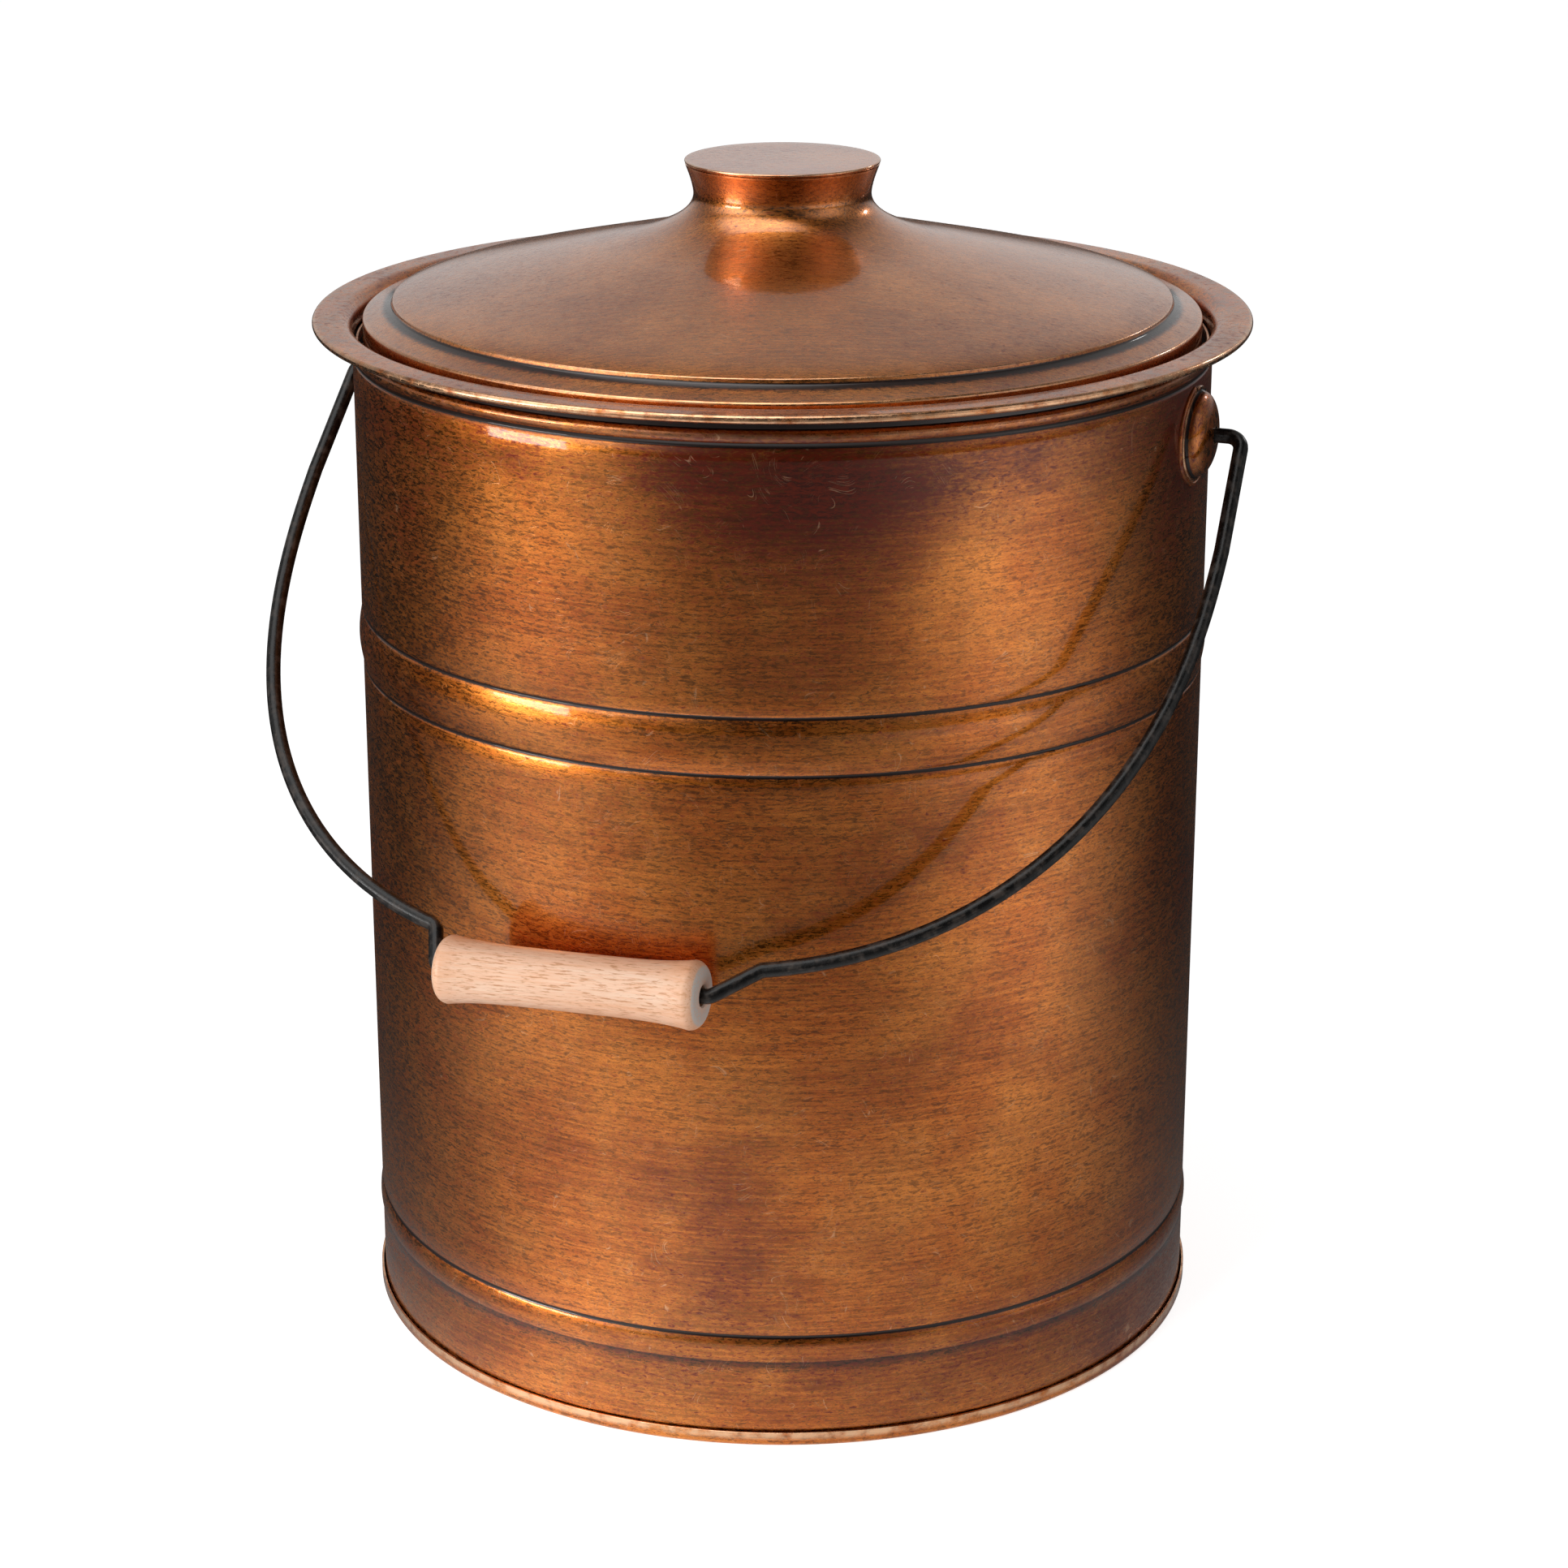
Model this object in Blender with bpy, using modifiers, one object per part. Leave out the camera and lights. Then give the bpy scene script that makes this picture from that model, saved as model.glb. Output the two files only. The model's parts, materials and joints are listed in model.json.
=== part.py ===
"""Lidded sheet-metal bucket with a swinging wire bail and a turned wooden grip.

Frame: metres, +Z up. The origin is the centre of the bucket's underside, on the surface it stands on.
The bail turns about an axis parallel to X, and at rest it hangs against the front wall, on the -Y side.
"""

import math

import bmesh
import bpy
from mathutils import Matrix, Vector

# ---------------------------------------------------------------- driving dimensions, in metres

SHEET = 0.0005            # wall of the bucket and of its lid
PLATE = 0.0007            # bottoms, lid seat and ears
GAP = 0.0003              # room left between pieces that touch

BODY_RADIUS = 0.1467      # outside of the straight wall
BODY_HEIGHT = 0.3568      # surface it stands on to the top of the rim

RIM_WIDTH = 0.0133        # wall to the outside of the rolled edge
RIM_ROLL = 0.0027         # height of the rolled edge
RIM_FLARE = 0.0046        # radius of the bend from the wall to the flat rim

NECK_BEAD_TOP = 0.0072    # all these depths are below the top of the rim
NECK_BEAD_HEIGHT = 0.0046
NECK_BEAD_PROUD = 0.0013
MID_BEAD_TOP = 0.1008
MID_BEAD_HEIGHT = 0.0194
MID_BEAD_PROUD = 0.0011
LINE_WIDTH = 0.0022       # width of each fine rolled line
LINE_DEPTH = 0.0005

CRIMP_HEIGHT = 0.0400     # the line that holds the inner bottom, above the standing surface
CRIMP_BEAD_DROP = 0.0052  # the small bead lies this far below that line
CRIMP_BEAD_PROUD = 0.0007

FOOT_CLEARANCE = 0.0007   # wall to the inside of the pressed cap that closes the underside
FOOT_HEIGHT = 0.0052
FOOT_CORNER = 0.0018
INNER_BOTTOM_FLANGE = 0.0080
INNER_BOTTOM_CORNER = 0.0040

SEAT_DEPTH = 0.0128       # ledge that carries the lid, below the top of the rim
SEAT_LEG = 0.0052
SEAT_LEDGE = 0.0058

LID_CLEARANCE = 0.0017    # round the lid's skirt
LID_FLANGE = 0.0102       # edge of the skirt to the edge of the dome
LID_STEP_BASE = 0.0034    # these heights are above the top of the rim
LID_STEP_TOP = 0.0052
LID_STEP_BATTER = 0.0005  # the step's upright leans in by this much
LID_EDGE_ROUND = 0.0008   # the skirt turns into the flange over this much
LID_FLANGE_RISE = 0.0001  # the flange stands above the top of the rim by this much
DOME_SLOPE = 0.229
DOME_EDGE_TURN = 0.0011   # the dome's edge is turned down by this much
DOME_EDGE_REACH = 0.0050
NECK_RISE = 0.0099        # the dome sweeps up by this much into the neck of the knob
NECK_SWEEP = 0.0300

KNOB_WAIST = 0.0302
KNOB_FLARE = 0.0028       # the neck opens by this much up to the cap
KNOB_NECK_HEIGHT = 0.0114 # waist to the top of the cap
KNOB_CAP = 0.0012
KNOB_CAP_LIP = 0.0002     # the cap stands out over the neck
KNOB_SPIGOT = 0.0025

WIRE_RADIUS = 0.0025
WIRE_HEAD = 1.6           # the upset end of the wire, as a share of its radius
WIRE_HEAD_LENGTH = 0.0016
WIRE_CLEARANCE = 0.0004   # round the wire in the ears
WIRE_HEAD_ROOM = 0.0011   # wall of the bucket to the wire's head
WIRE_HEAD_CHAMFER = 0.0001
PIVOT_DEPTH = 0.0315      # bail axis below the top of the rim

EAR_RADIUS = 0.0160
EAR_PROUD = 0.0070

BAIL_CLEARANCE = 0.0022   # wire to the rim as the bail passes it
BAIL_SPLAY = 0.0020       # the legs lean out by this much
BAIL_BEND = 0.0052
BAIL_LEG = 0.0447         # length of the straight legs, from the pivot axis
BAIL_BOW = 0.1723         # depth of the round bow below the legs
BAIL_SQUARENESS = 2.43    # exponent of the bow: 2 is an ellipse
CRANK_DROP = 0.0071       # bottom of the bow to the axis of the grip
BAIL_SKEW = 0.036         # the hand-bent bow is deeper on its -X side, as a slope of the grip
CRANK_OFFSET = -0.0128    # middle of the grip, off the bucket's axis
CRANK_PLAY = 0.0022       # room at each end of the grip
CRANK_JOGS = (0.0046, 0.0146)
CRANK_BEND = 0.0045

GRIP_LENGTH = 0.0910
GRIP_END_RADIUS = 0.0110
GRIP_WAIST_RADIUS = 0.0099
GRIP_ROUND = 0.0026
GRIP_BORE_CLEARANCE = 0.0009

TURNS = 48                # facets round a large turned piece
SMALL_TURNS = 20          # facets round an ear and the grip
MERGE_DISTANCE = 0.00001

# ---------------------------------------------------------------- derived sizes

RIM_RADIUS = BODY_RADIUS + RIM_WIDTH
FOOT_RADIUS = BODY_RADIUS + FOOT_CLEARANCE + PLATE
BODY_INSIDE = BODY_RADIUS - SHEET
LINE_INSIDE = BODY_INSIDE - LINE_DEPTH - GAP
WALL_FOOT = PLATE + GAP
SEAT_TOP = BODY_HEIGHT - SEAT_DEPTH
LID_RADIUS = LINE_INSIDE - PLATE - LID_CLEARANCE
LID_STEP_RADIUS = LID_RADIUS - LID_FLANGE
KNOB_RADIUS = KNOB_WAIST + KNOB_FLARE + KNOB_CAP_LIP
PIVOT_HEIGHT = BODY_HEIGHT - PIVOT_DEPTH
EAR_HOLE = WIRE_RADIUS + WIRE_CLEARANCE
GRIP_BORE = WIRE_RADIUS + GRIP_BORE_CLEARANCE
BAIL_HALF_WIDTH = RIM_RADIUS + BAIL_CLEARANCE + WIRE_RADIUS
BAIL_REACH = BAIL_LEG + BAIL_BOW + CRANK_DROP
GRIP_REST_DISTANCE = BODY_RADIUS + GRIP_END_RADIUS + GAP
REST_ANGLE = math.asin(GRIP_REST_DISTANCE / BAIL_REACH)

COPPER = ((0.60, 0.27, 0.13), 0.34, 1.0)
DARK_STEEL = ((0.20, 0.19, 0.18), 0.45, 1.0)
BLACK_WIRE = ((0.02, 0.02, 0.02), 0.38, 0.6)
BEECH = ((0.62, 0.42, 0.24), 0.60, 0.0)


# ---------------------------------------------------------------- scene, materials, helpers

def clear_scene():
    """Remove whatever the file was opened with."""
    for obj in list(bpy.data.objects):
        bpy.data.objects.remove(obj, do_unlink=True)


def new_collection(name, hidden=False):
    """Add a collection to the scene, hidden from renders if it holds cutters."""
    collection = bpy.data.collections.new(name)
    collection.hide_render = hidden
    bpy.context.scene.collection.children.link(collection)
    return collection


def give_finish(obj, finish):
    """Give the object its own Principled material."""
    colour, roughness, metallic = finish
    material = bpy.data.materials.new(obj.name + "_finish")
    material.use_nodes = True
    shader = material.node_tree.nodes["Principled BSDF"]
    shader.inputs["Base Color"].default_value = (*colour, 1.0)
    shader.inputs["Roughness"].default_value = roughness
    shader.inputs["Metallic"].default_value = metallic
    obj.data.materials.append(material)


def add_empty(name, collection, matrix):
    """Add an empty that marks a joint's axis."""
    empty = bpy.data.objects.new(name, None)
    empty.empty_display_size = 0.02
    collection.objects.link(empty)
    empty.matrix_world = matrix
    return empty


def turned(name, profile, collection, steps=TURNS, closed=False, wall=0.0):
    """A profile of (radius, height) points turned about Z, with a wall inside it if the profile is open."""
    mesh = bpy.data.meshes.new(name)
    edges = [(i, i + 1) for i in range(len(profile) - 1)]
    if closed:
        edges.append((len(profile) - 1, 0))
    mesh.from_pydata([(r, 0.0, z) for r, z in profile], edges, [])
    obj = bpy.data.objects.new(name, mesh)
    collection.objects.link(obj)
    screw = obj.modifiers.new("turn", "SCREW")
    screw.axis = "Z"
    screw.steps = steps
    screw.render_steps = steps
    screw.use_merge_vertices = True
    screw.merge_threshold = MERGE_DISTANCE
    screw.use_smooth_shade = True
    if wall:
        solid = obj.modifiers.new("wall", "SOLIDIFY")
        solid.thickness = wall
        solid.offset = -1.0
        solid.use_even_offset = True
    return obj


def arc(centre, radius, start, end, steps):
    """Points of an arc in the plane of a profile, with the angles in degrees."""
    angles = [math.radians(start + (end - start) * i / steps) for i in range(steps + 1)]
    return [(centre[0] + radius * math.cos(a), centre[1] + radius * math.sin(a)) for a in angles]


def bead(radius, top, height, proud, steps):
    """A rounded rib that stands out of a wall by proud, from top downwards."""
    shares = [i / steps for i in range(1, steps)]
    return [(radius + proud * math.sin(math.pi * s) ** 0.8, top - height * s) for s in shares]


def line(radius, height):
    """A fine V-shaped line rolled into a wall, about the given height."""
    half = LINE_WIDTH / 2
    return [(radius, height + half), (radius - LINE_DEPTH, height), (radius, height - half)]


# ---------------------------------------------------------------- bucket

def body_profile():
    """Outside of the wall, from the end of the curl, over the rim's underside and down to the foot."""
    roll = RIM_ROLL / 2
    curl_centre = (RIM_RADIUS - roll, BODY_HEIGHT - roll)
    curl = arc(curl_centre, roll - SHEET, -150, 90, 5)
    flare_centre = (BODY_RADIUS + RIM_FLARE, BODY_HEIGHT - SHEET - RIM_FLARE)
    flare = arc(flare_centre, RIM_FLARE, 90, 180, 3)
    neck_top = BODY_HEIGHT - NECK_BEAD_TOP
    neck_line = neck_top - NECK_BEAD_HEIGHT - LINE_WIDTH / 2
    mid_top = BODY_HEIGHT - MID_BEAD_TOP
    mid_bottom = mid_top - MID_BEAD_HEIGHT
    half = LINE_WIDTH / 2
    points = curl + flare
    points += [(BODY_RADIUS, neck_top)]
    points += bead(BODY_RADIUS, neck_top, NECK_BEAD_HEIGHT, NECK_BEAD_PROUD, 4)
    points += line(BODY_RADIUS, neck_line)
    points += line(BODY_RADIUS, mid_top)
    points += bead(BODY_RADIUS, mid_top - half, MID_BEAD_HEIGHT - LINE_WIDTH, MID_BEAD_PROUD, 4)
    points += line(BODY_RADIUS, mid_bottom)
    points += line(BODY_RADIUS, CRIMP_HEIGHT)
    points += [(BODY_RADIUS + CRIMP_BEAD_PROUD, CRIMP_HEIGHT - CRIMP_BEAD_DROP)]
    points += [(BODY_RADIUS, CRIMP_HEIGHT - 2 * CRIMP_BEAD_DROP)]
    points += [(BODY_RADIUS, WALL_FOOT)]
    return points


def make_body(parts):
    """The wall in one sheet, the wire in its rolled rim, and the ring inside it that carries the lid."""
    body = turned("body_shell", body_profile(), parts, wall=SHEET)
    give_finish(body, COPPER)

    roll = RIM_ROLL / 2
    wire_radius = roll - SHEET - GAP
    section = arc((RIM_RADIUS - roll, BODY_HEIGHT - roll), wire_radius, 90, -210, 5)
    rim_wire = turned("rim_wire", section, parts, closed=True)
    give_finish(rim_wire, DARK_STEEL)

    leg_outside = LINE_INSIDE
    leg_top = SEAT_TOP + SEAT_LEG
    ledge_inside = leg_outside - SEAT_LEDGE
    section = [
        (leg_outside, leg_top),
        (leg_outside, SEAT_TOP - PLATE),
        (ledge_inside, SEAT_TOP - PLATE),
        (ledge_inside, SEAT_TOP),
        (leg_outside - PLATE, SEAT_TOP),
        (leg_outside - PLATE, leg_top),
    ]
    seat = turned("lid_seat_ring", section, parts, closed=True)
    give_finish(seat, COPPER)


def make_bottoms(parts):
    """The inner bottom, level with the crimp line, and the pressed cap under the foot of the wall."""
    corner = INNER_BOTTOM_CORNER
    flange_inside = LINE_INSIDE - PLATE
    corner_centre = (flange_inside - corner, CRIMP_HEIGHT + corner)
    inside = [(flange_inside, CRIMP_HEIGHT + INNER_BOTTOM_FLANGE)]
    inside += arc(corner_centre, corner, 0, -90, 3) + [(0.0, CRIMP_HEIGHT)]
    inner = turned("inner_bottom", inside[::-1], parts, wall=PLATE)
    give_finish(inner, DARK_STEEL)

    corner_centre = (FOOT_RADIUS - FOOT_CORNER, FOOT_CORNER)
    outside = [(FOOT_RADIUS, FOOT_HEIGHT)] + arc(corner_centre, FOOT_CORNER, 0, -90, 4) + [(0.0, 0.0)]
    outer = turned("outer_bottom", outside, parts, wall=PLATE)
    give_finish(outer, COPPER)


def make_ear(name, side, parts, wall_cutter):
    """A pressed dome round the end of the bail, hollow, with a hole for the wire at its apex."""
    steps = 7
    first = math.degrees(math.asin(EAR_HOLE / EAR_RADIUS))
    dome = []
    for i in range(steps + 1):
        angle = math.radians(first + (90 - first) * i / steps)
        dome.append((EAR_RADIUS * math.sin(angle), EAR_PROUD * math.cos(angle)))
    dome.append((EAR_RADIUS, -EAR_RADIUS ** 2 / BODY_RADIUS))
    ear = turned(name, dome, parts, steps=SMALL_TURNS, wall=PLATE)
    outwards = Matrix.Rotation(side * math.pi / 2, 4, "Y")
    ear.matrix_world = Matrix.Translation((side * BODY_RADIUS, 0.0, PIVOT_HEIGHT)) @ outwards
    cut = ear.modifiers.new("fit_to_wall", "BOOLEAN")
    cut.operation = "DIFFERENCE"
    cut.object = wall_cutter
    give_finish(ear, COPPER)


def make_wall_cutter(cutters):
    """The room that the wall takes, with its gap, out of the back of each ear."""
    mesh = bpy.data.meshes.new("wall_room")
    cylinder = bmesh.new()
    bmesh.ops.create_cone(
        cylinder, cap_ends=True, segments=TURNS, depth=4 * EAR_RADIUS,
        radius1=BODY_RADIUS + GAP, radius2=BODY_RADIUS + GAP,
    )
    cylinder.to_mesh(mesh)
    cylinder.free()
    cutter = bpy.data.objects.new("wall_room", mesh)
    cutter.location = (0.0, 0.0, PIVOT_HEIGHT)
    cutter.hide_render = True
    cutter.display_type = "WIRE"
    cutters.objects.link(cutter)
    return cutter


# ---------------------------------------------------------------- lid

def dome_height(radius):
    """Height of the dome above the rim: a low cone that sweeps up into the neck, with its edge turned down."""
    inwards = LID_STEP_RADIUS - radius
    height = LID_STEP_TOP + DOME_SLOPE * inwards
    height += DOME_EDGE_TURN * (1 - math.exp(-inwards / DOME_EDGE_REACH))
    from_waist = min((radius - KNOB_WAIST) / NECK_SWEEP, 1.0)
    return height + NECK_RISE * (1 - math.sqrt(from_waist)) ** 2


def lid_profile():
    """Outside of the lid, from the mouth of the knob down to the lower edge of the skirt."""
    waist_height = dome_height(KNOB_WAIST)
    neck_rise = KNOB_NECK_HEIGHT - KNOB_CAP - GAP
    neck_shares = (1.0, 0.75, 0.5, 0.25)
    neck = [(KNOB_WAIST + KNOB_FLARE * s ** 1.5, waist_height + neck_rise * s) for s in neck_shares]
    sweep_shares = (0.0, 0.03, 0.1, 0.22, 0.45, 1.0)
    radii = [KNOB_WAIST + NECK_SWEEP * s for s in sweep_shares]
    radii += [LID_STEP_RADIUS - d * DOME_EDGE_REACH for d in (7.0, 1.5, 0.0)]
    dome = [(radius, dome_height(radius)) for radius in radii]
    edge = [(LID_STEP_RADIUS + LID_STEP_BATTER, LID_STEP_BASE)]
    skirt = [(LID_RADIUS - LID_EDGE_ROUND, LID_FLANGE_RISE), (LID_RADIUS, -LID_EDGE_ROUND)]
    skirt += [(LID_RADIUS, GAP - SEAT_DEPTH)]
    return [(r, BODY_HEIGHT + z) for r, z in neck + dome + edge + skirt]


def make_lid(parts):
    """The lid with the knob's neck, and the disc with a spigot that closes the knob."""
    lid = turned("lid_shell", lid_profile(), parts, wall=SHEET)
    give_finish(lid, COPPER)

    top = BODY_HEIGHT + dome_height(KNOB_WAIST) + KNOB_NECK_HEIGHT
    under = top - KNOB_CAP
    spigot_radius = KNOB_WAIST - SHEET - GAP
    spigot_foot = under - KNOB_SPIGOT
    section = [
        (0.0, top),
        (KNOB_RADIUS - KNOB_CAP_LIP, top),
        (KNOB_RADIUS, top - KNOB_CAP_LIP),
        (KNOB_RADIUS, under),
        (spigot_radius, under),
        (spigot_radius, spigot_foot),
        (spigot_radius - PLATE, spigot_foot),
        (spigot_radius - PLATE, under),
        (0.0, under),
    ]
    cap = turned("knob_cap", section, parts,)
    give_finish(cap, COPPER)


# ---------------------------------------------------------------- bail and grip

def bow_depth(across):
    """Distance of the bow from the pivot axis, at a distance across from the bucket's axis."""
    share = 1 - (abs(across) / BAIL_HALF_WIDTH) ** BAIL_SQUARENESS
    return BAIL_LEG + BAIL_BOW * share ** (1 / BAIL_SQUARENESS)


def rounded_corner(before, corner, after, radius, steps):
    """Arc that replaces a corner between two straight runs, in the bail's plane."""
    before, corner, after = Vector(before), Vector(corner), Vector(after)
    back = (before - corner).normalized()
    ahead = (after - corner).normalized()
    half = back.angle(ahead) / 2
    centre = corner + (back + ahead).normalized() * radius / math.sin(half)
    start = corner + back * radius / math.tan(half) - centre
    end = corner + ahead * radius / math.tan(half) - centre
    turn = start.angle(end)
    points = []
    for i in range(steps + 1):
        share = i / steps
        mixed = start * math.sin((1 - share) * turn) + end * math.sin(share * turn)
        points.append(tuple(centre + mixed / math.sin(turn)))
    return points


def half_bail(side):
    """Half of the wire, from its head in the ear to the middle of the grip, as (across, down) points."""
    head = BODY_RADIUS + WIRE_HEAD_ROOM
    neck = head + WIRE_HEAD_LENGTH
    shank = neck + WIRE_HEAD_CHAMFER
    ear_corner = (BAIL_HALF_WIDTH - BAIL_SPLAY, 0.0)
    leg_end = (BAIL_HALF_WIDTH, BAIL_LEG)
    half_crank = GRIP_LENGTH / 2 + CRANK_PLAY
    crank_end = side * CRANK_OFFSET + half_crank
    jog_end = crank_end + CRANK_JOGS[0 if side < 0 else 1]
    points = [(head, 0.0), (neck, 0.0), (shank, 0.0)]
    points += rounded_corner((neck, 0.0), ear_corner, leg_end, BAIL_BEND, 4)
    points += [(BAIL_HALF_WIDTH - BAIL_SPLAY / 2, BAIL_LEG / 2), leg_end]
    steps = 18
    last_angle = math.acos((jog_end / BAIL_HALF_WIDTH) ** (BAIL_SQUARENESS / 2))
    for i in range(1, steps):
        across = BAIL_HALF_WIDTH * math.cos(last_angle * i / steps) ** (2 / BAIL_SQUARENESS)
        points.append((across, bow_depth(across)))
    bow_end = (jog_end, bow_depth(jog_end))
    points += rounded_corner(points[-1], bow_end, (crank_end, BAIL_REACH), CRANK_BEND, 3)
    points += rounded_corner(bow_end, (crank_end, BAIL_REACH), (0.0, BAIL_REACH), CRANK_BEND, 3)
    return [(side * across, down) for across, down in points]


def skewed(across, down):
    """The place of a point of the even bow on the hand-bent one, which is deeper on its -X side."""
    return across, down * (1 - BAIL_SKEW * across / BAIL_REACH)


def bail_matrix():
    """Plane of the bail at rest: its X is the pivot axis, its Y runs from the axis to the grip."""
    down = Vector((0.0, -math.sin(REST_ANGLE), -math.cos(REST_ANGLE)))
    across = Vector((1.0, 0.0, 0.0))
    matrix = Matrix((across, down, across.cross(down))).transposed().to_4x4()
    return Matrix.Translation((0.0, 0.0, PIVOT_HEIGHT)) @ matrix


def make_bail(parts):
    """The bail's wire, under an empty on its pivot axis, which is returned."""
    pivot = add_empty("bail_pivot", parts, bail_matrix())
    left = half_bail(-1.0)
    right = half_bail(1.0)
    points = [skewed(*point) for point in left + right[::-1]]
    heads = {0: WIRE_HEAD, 1: WIRE_HEAD, len(points) - 1: WIRE_HEAD, len(points) - 2: WIRE_HEAD}
    curve = bpy.data.curves.new("bail_wire", "CURVE")
    curve.dimensions = "3D"
    curve.bevel_depth = WIRE_RADIUS
    curve.bevel_resolution = 2
    curve.use_fill_caps = True
    spline = curve.splines.new("POLY")
    spline.points.add(len(points) - 1)
    for i, (across, down) in enumerate(points):
        spline.points[i].co = (across, down, 0.0, 1.0)
        spline.points[i].radius = heads.get(i, 1.0)
    wire = bpy.data.objects.new("bail_wire", curve)
    parts.objects.link(wire)
    wire.parent = pivot
    give_finish(wire, BLACK_WIRE)
    return pivot


def grip_profile():
    """Section of the turned grip about its own axis: a low waist, round ends and a bore."""
    half = GRIP_LENGTH / 2
    shoulder = half - GRIP_ROUND
    steps = 8
    outside = []
    for i in range(1, steps):
        along = shoulder * (1 - 2 * i / steps)
        swell = (abs(along) / shoulder) ** 2
        outside.append((GRIP_WAIST_RADIUS + (GRIP_END_RADIUS - GRIP_WAIST_RADIUS) * swell, along))
    top = arc((GRIP_END_RADIUS - GRIP_ROUND, shoulder), GRIP_ROUND, 90, 0, 3)
    bottom = arc((GRIP_END_RADIUS - GRIP_ROUND, -shoulder), GRIP_ROUND, 0, -90, 3)
    return [(GRIP_BORE, half)] + top + outside + bottom + [(GRIP_BORE, -half)]


def make_grip(parts, pivot):
    """The grip, under an empty on its own axis, which hangs from the bail's pivot."""
    grip = turned("grip", grip_profile(), parts, steps=SMALL_TURNS, closed=True)
    middle = skewed(CRANK_OFFSET, BAIL_REACH)
    slope = Vector((1.0, -BAIL_SKEW, 0.0)).normalized()
    turn = Vector((0.0, 0.0, 1.0)).rotation_difference(slope).to_matrix().to_4x4()
    axis = add_empty("grip_axis", parts, pivot.matrix_world @ Matrix.Translation((*middle, 0.0)) @ turn)
    axis.parent = pivot
    axis.matrix_parent_inverse = pivot.matrix_world.inverted()
    grip.parent = axis
    give_finish(grip, BEECH)


def main():
    """Make every piece of the bucket."""
    clear_scene()
    parts = new_collection("ice_bucket")
    cutters = new_collection("cutters", hidden=True)
    make_body(parts)
    make_bottoms(parts)
    wall_cutter = make_wall_cutter(cutters)
    make_ear("ear_left", -1.0, parts, wall_cutter)
    make_ear("ear_right", 1.0, parts, wall_cutter)
    make_lid(parts)
    pivot = make_bail(parts)
    make_grip(parts, pivot)
    bpy.context.view_layer.update()


main()
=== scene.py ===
"""A lidded copper-finish bucket with a wire bail and a turned wooden grip, in a plain studio.

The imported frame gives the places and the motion. This script makes the surfaces: the spun and rolled sheet
metal, the bent wire, the turned wood, their finishes, and the light.
"""

import json
import logging
import math
from collections.abc import Sequence
from dataclasses import dataclass, field
from enum import Enum

import bmesh
import bpy
import numpy as np
from mathutils import Matrix, Vector


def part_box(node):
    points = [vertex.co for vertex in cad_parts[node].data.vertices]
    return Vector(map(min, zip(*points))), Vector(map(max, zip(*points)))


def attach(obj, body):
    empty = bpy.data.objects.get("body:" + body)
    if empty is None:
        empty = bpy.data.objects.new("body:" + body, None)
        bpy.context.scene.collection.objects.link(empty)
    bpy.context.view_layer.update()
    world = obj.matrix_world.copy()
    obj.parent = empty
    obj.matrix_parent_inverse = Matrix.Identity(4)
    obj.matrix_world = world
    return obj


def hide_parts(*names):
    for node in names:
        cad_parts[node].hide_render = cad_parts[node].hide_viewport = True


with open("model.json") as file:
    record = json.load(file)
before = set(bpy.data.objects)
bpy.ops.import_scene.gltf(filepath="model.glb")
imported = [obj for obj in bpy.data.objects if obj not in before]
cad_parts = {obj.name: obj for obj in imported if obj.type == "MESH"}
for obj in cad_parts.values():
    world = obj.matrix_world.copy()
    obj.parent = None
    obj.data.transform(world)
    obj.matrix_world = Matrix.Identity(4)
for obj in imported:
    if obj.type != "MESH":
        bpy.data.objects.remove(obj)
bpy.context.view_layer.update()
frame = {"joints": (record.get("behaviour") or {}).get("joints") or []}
LOG = logging.getLogger("bucket")

MM = 0.001
CLOSEST = 0.02 * MM
UP = Vector((0.0, 0.0, 1.0))
Point = tuple[float, float]
Colour = tuple[float, float, float]
Zone = tuple[float, float, float, float, float]
Socket = bpy.types.NodeSocket


class Side(Enum):
    """The two sides of the bucket that carry an ear."""

    LEFT = -1.0
    RIGHT = 1.0


class Grain(Enum):
    """How the brushing of a sheet runs."""

    AROUND = "around"
    ACROSS = "across"
    OWN = "own"


# ---------------------------------------------------------------- node trees


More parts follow.
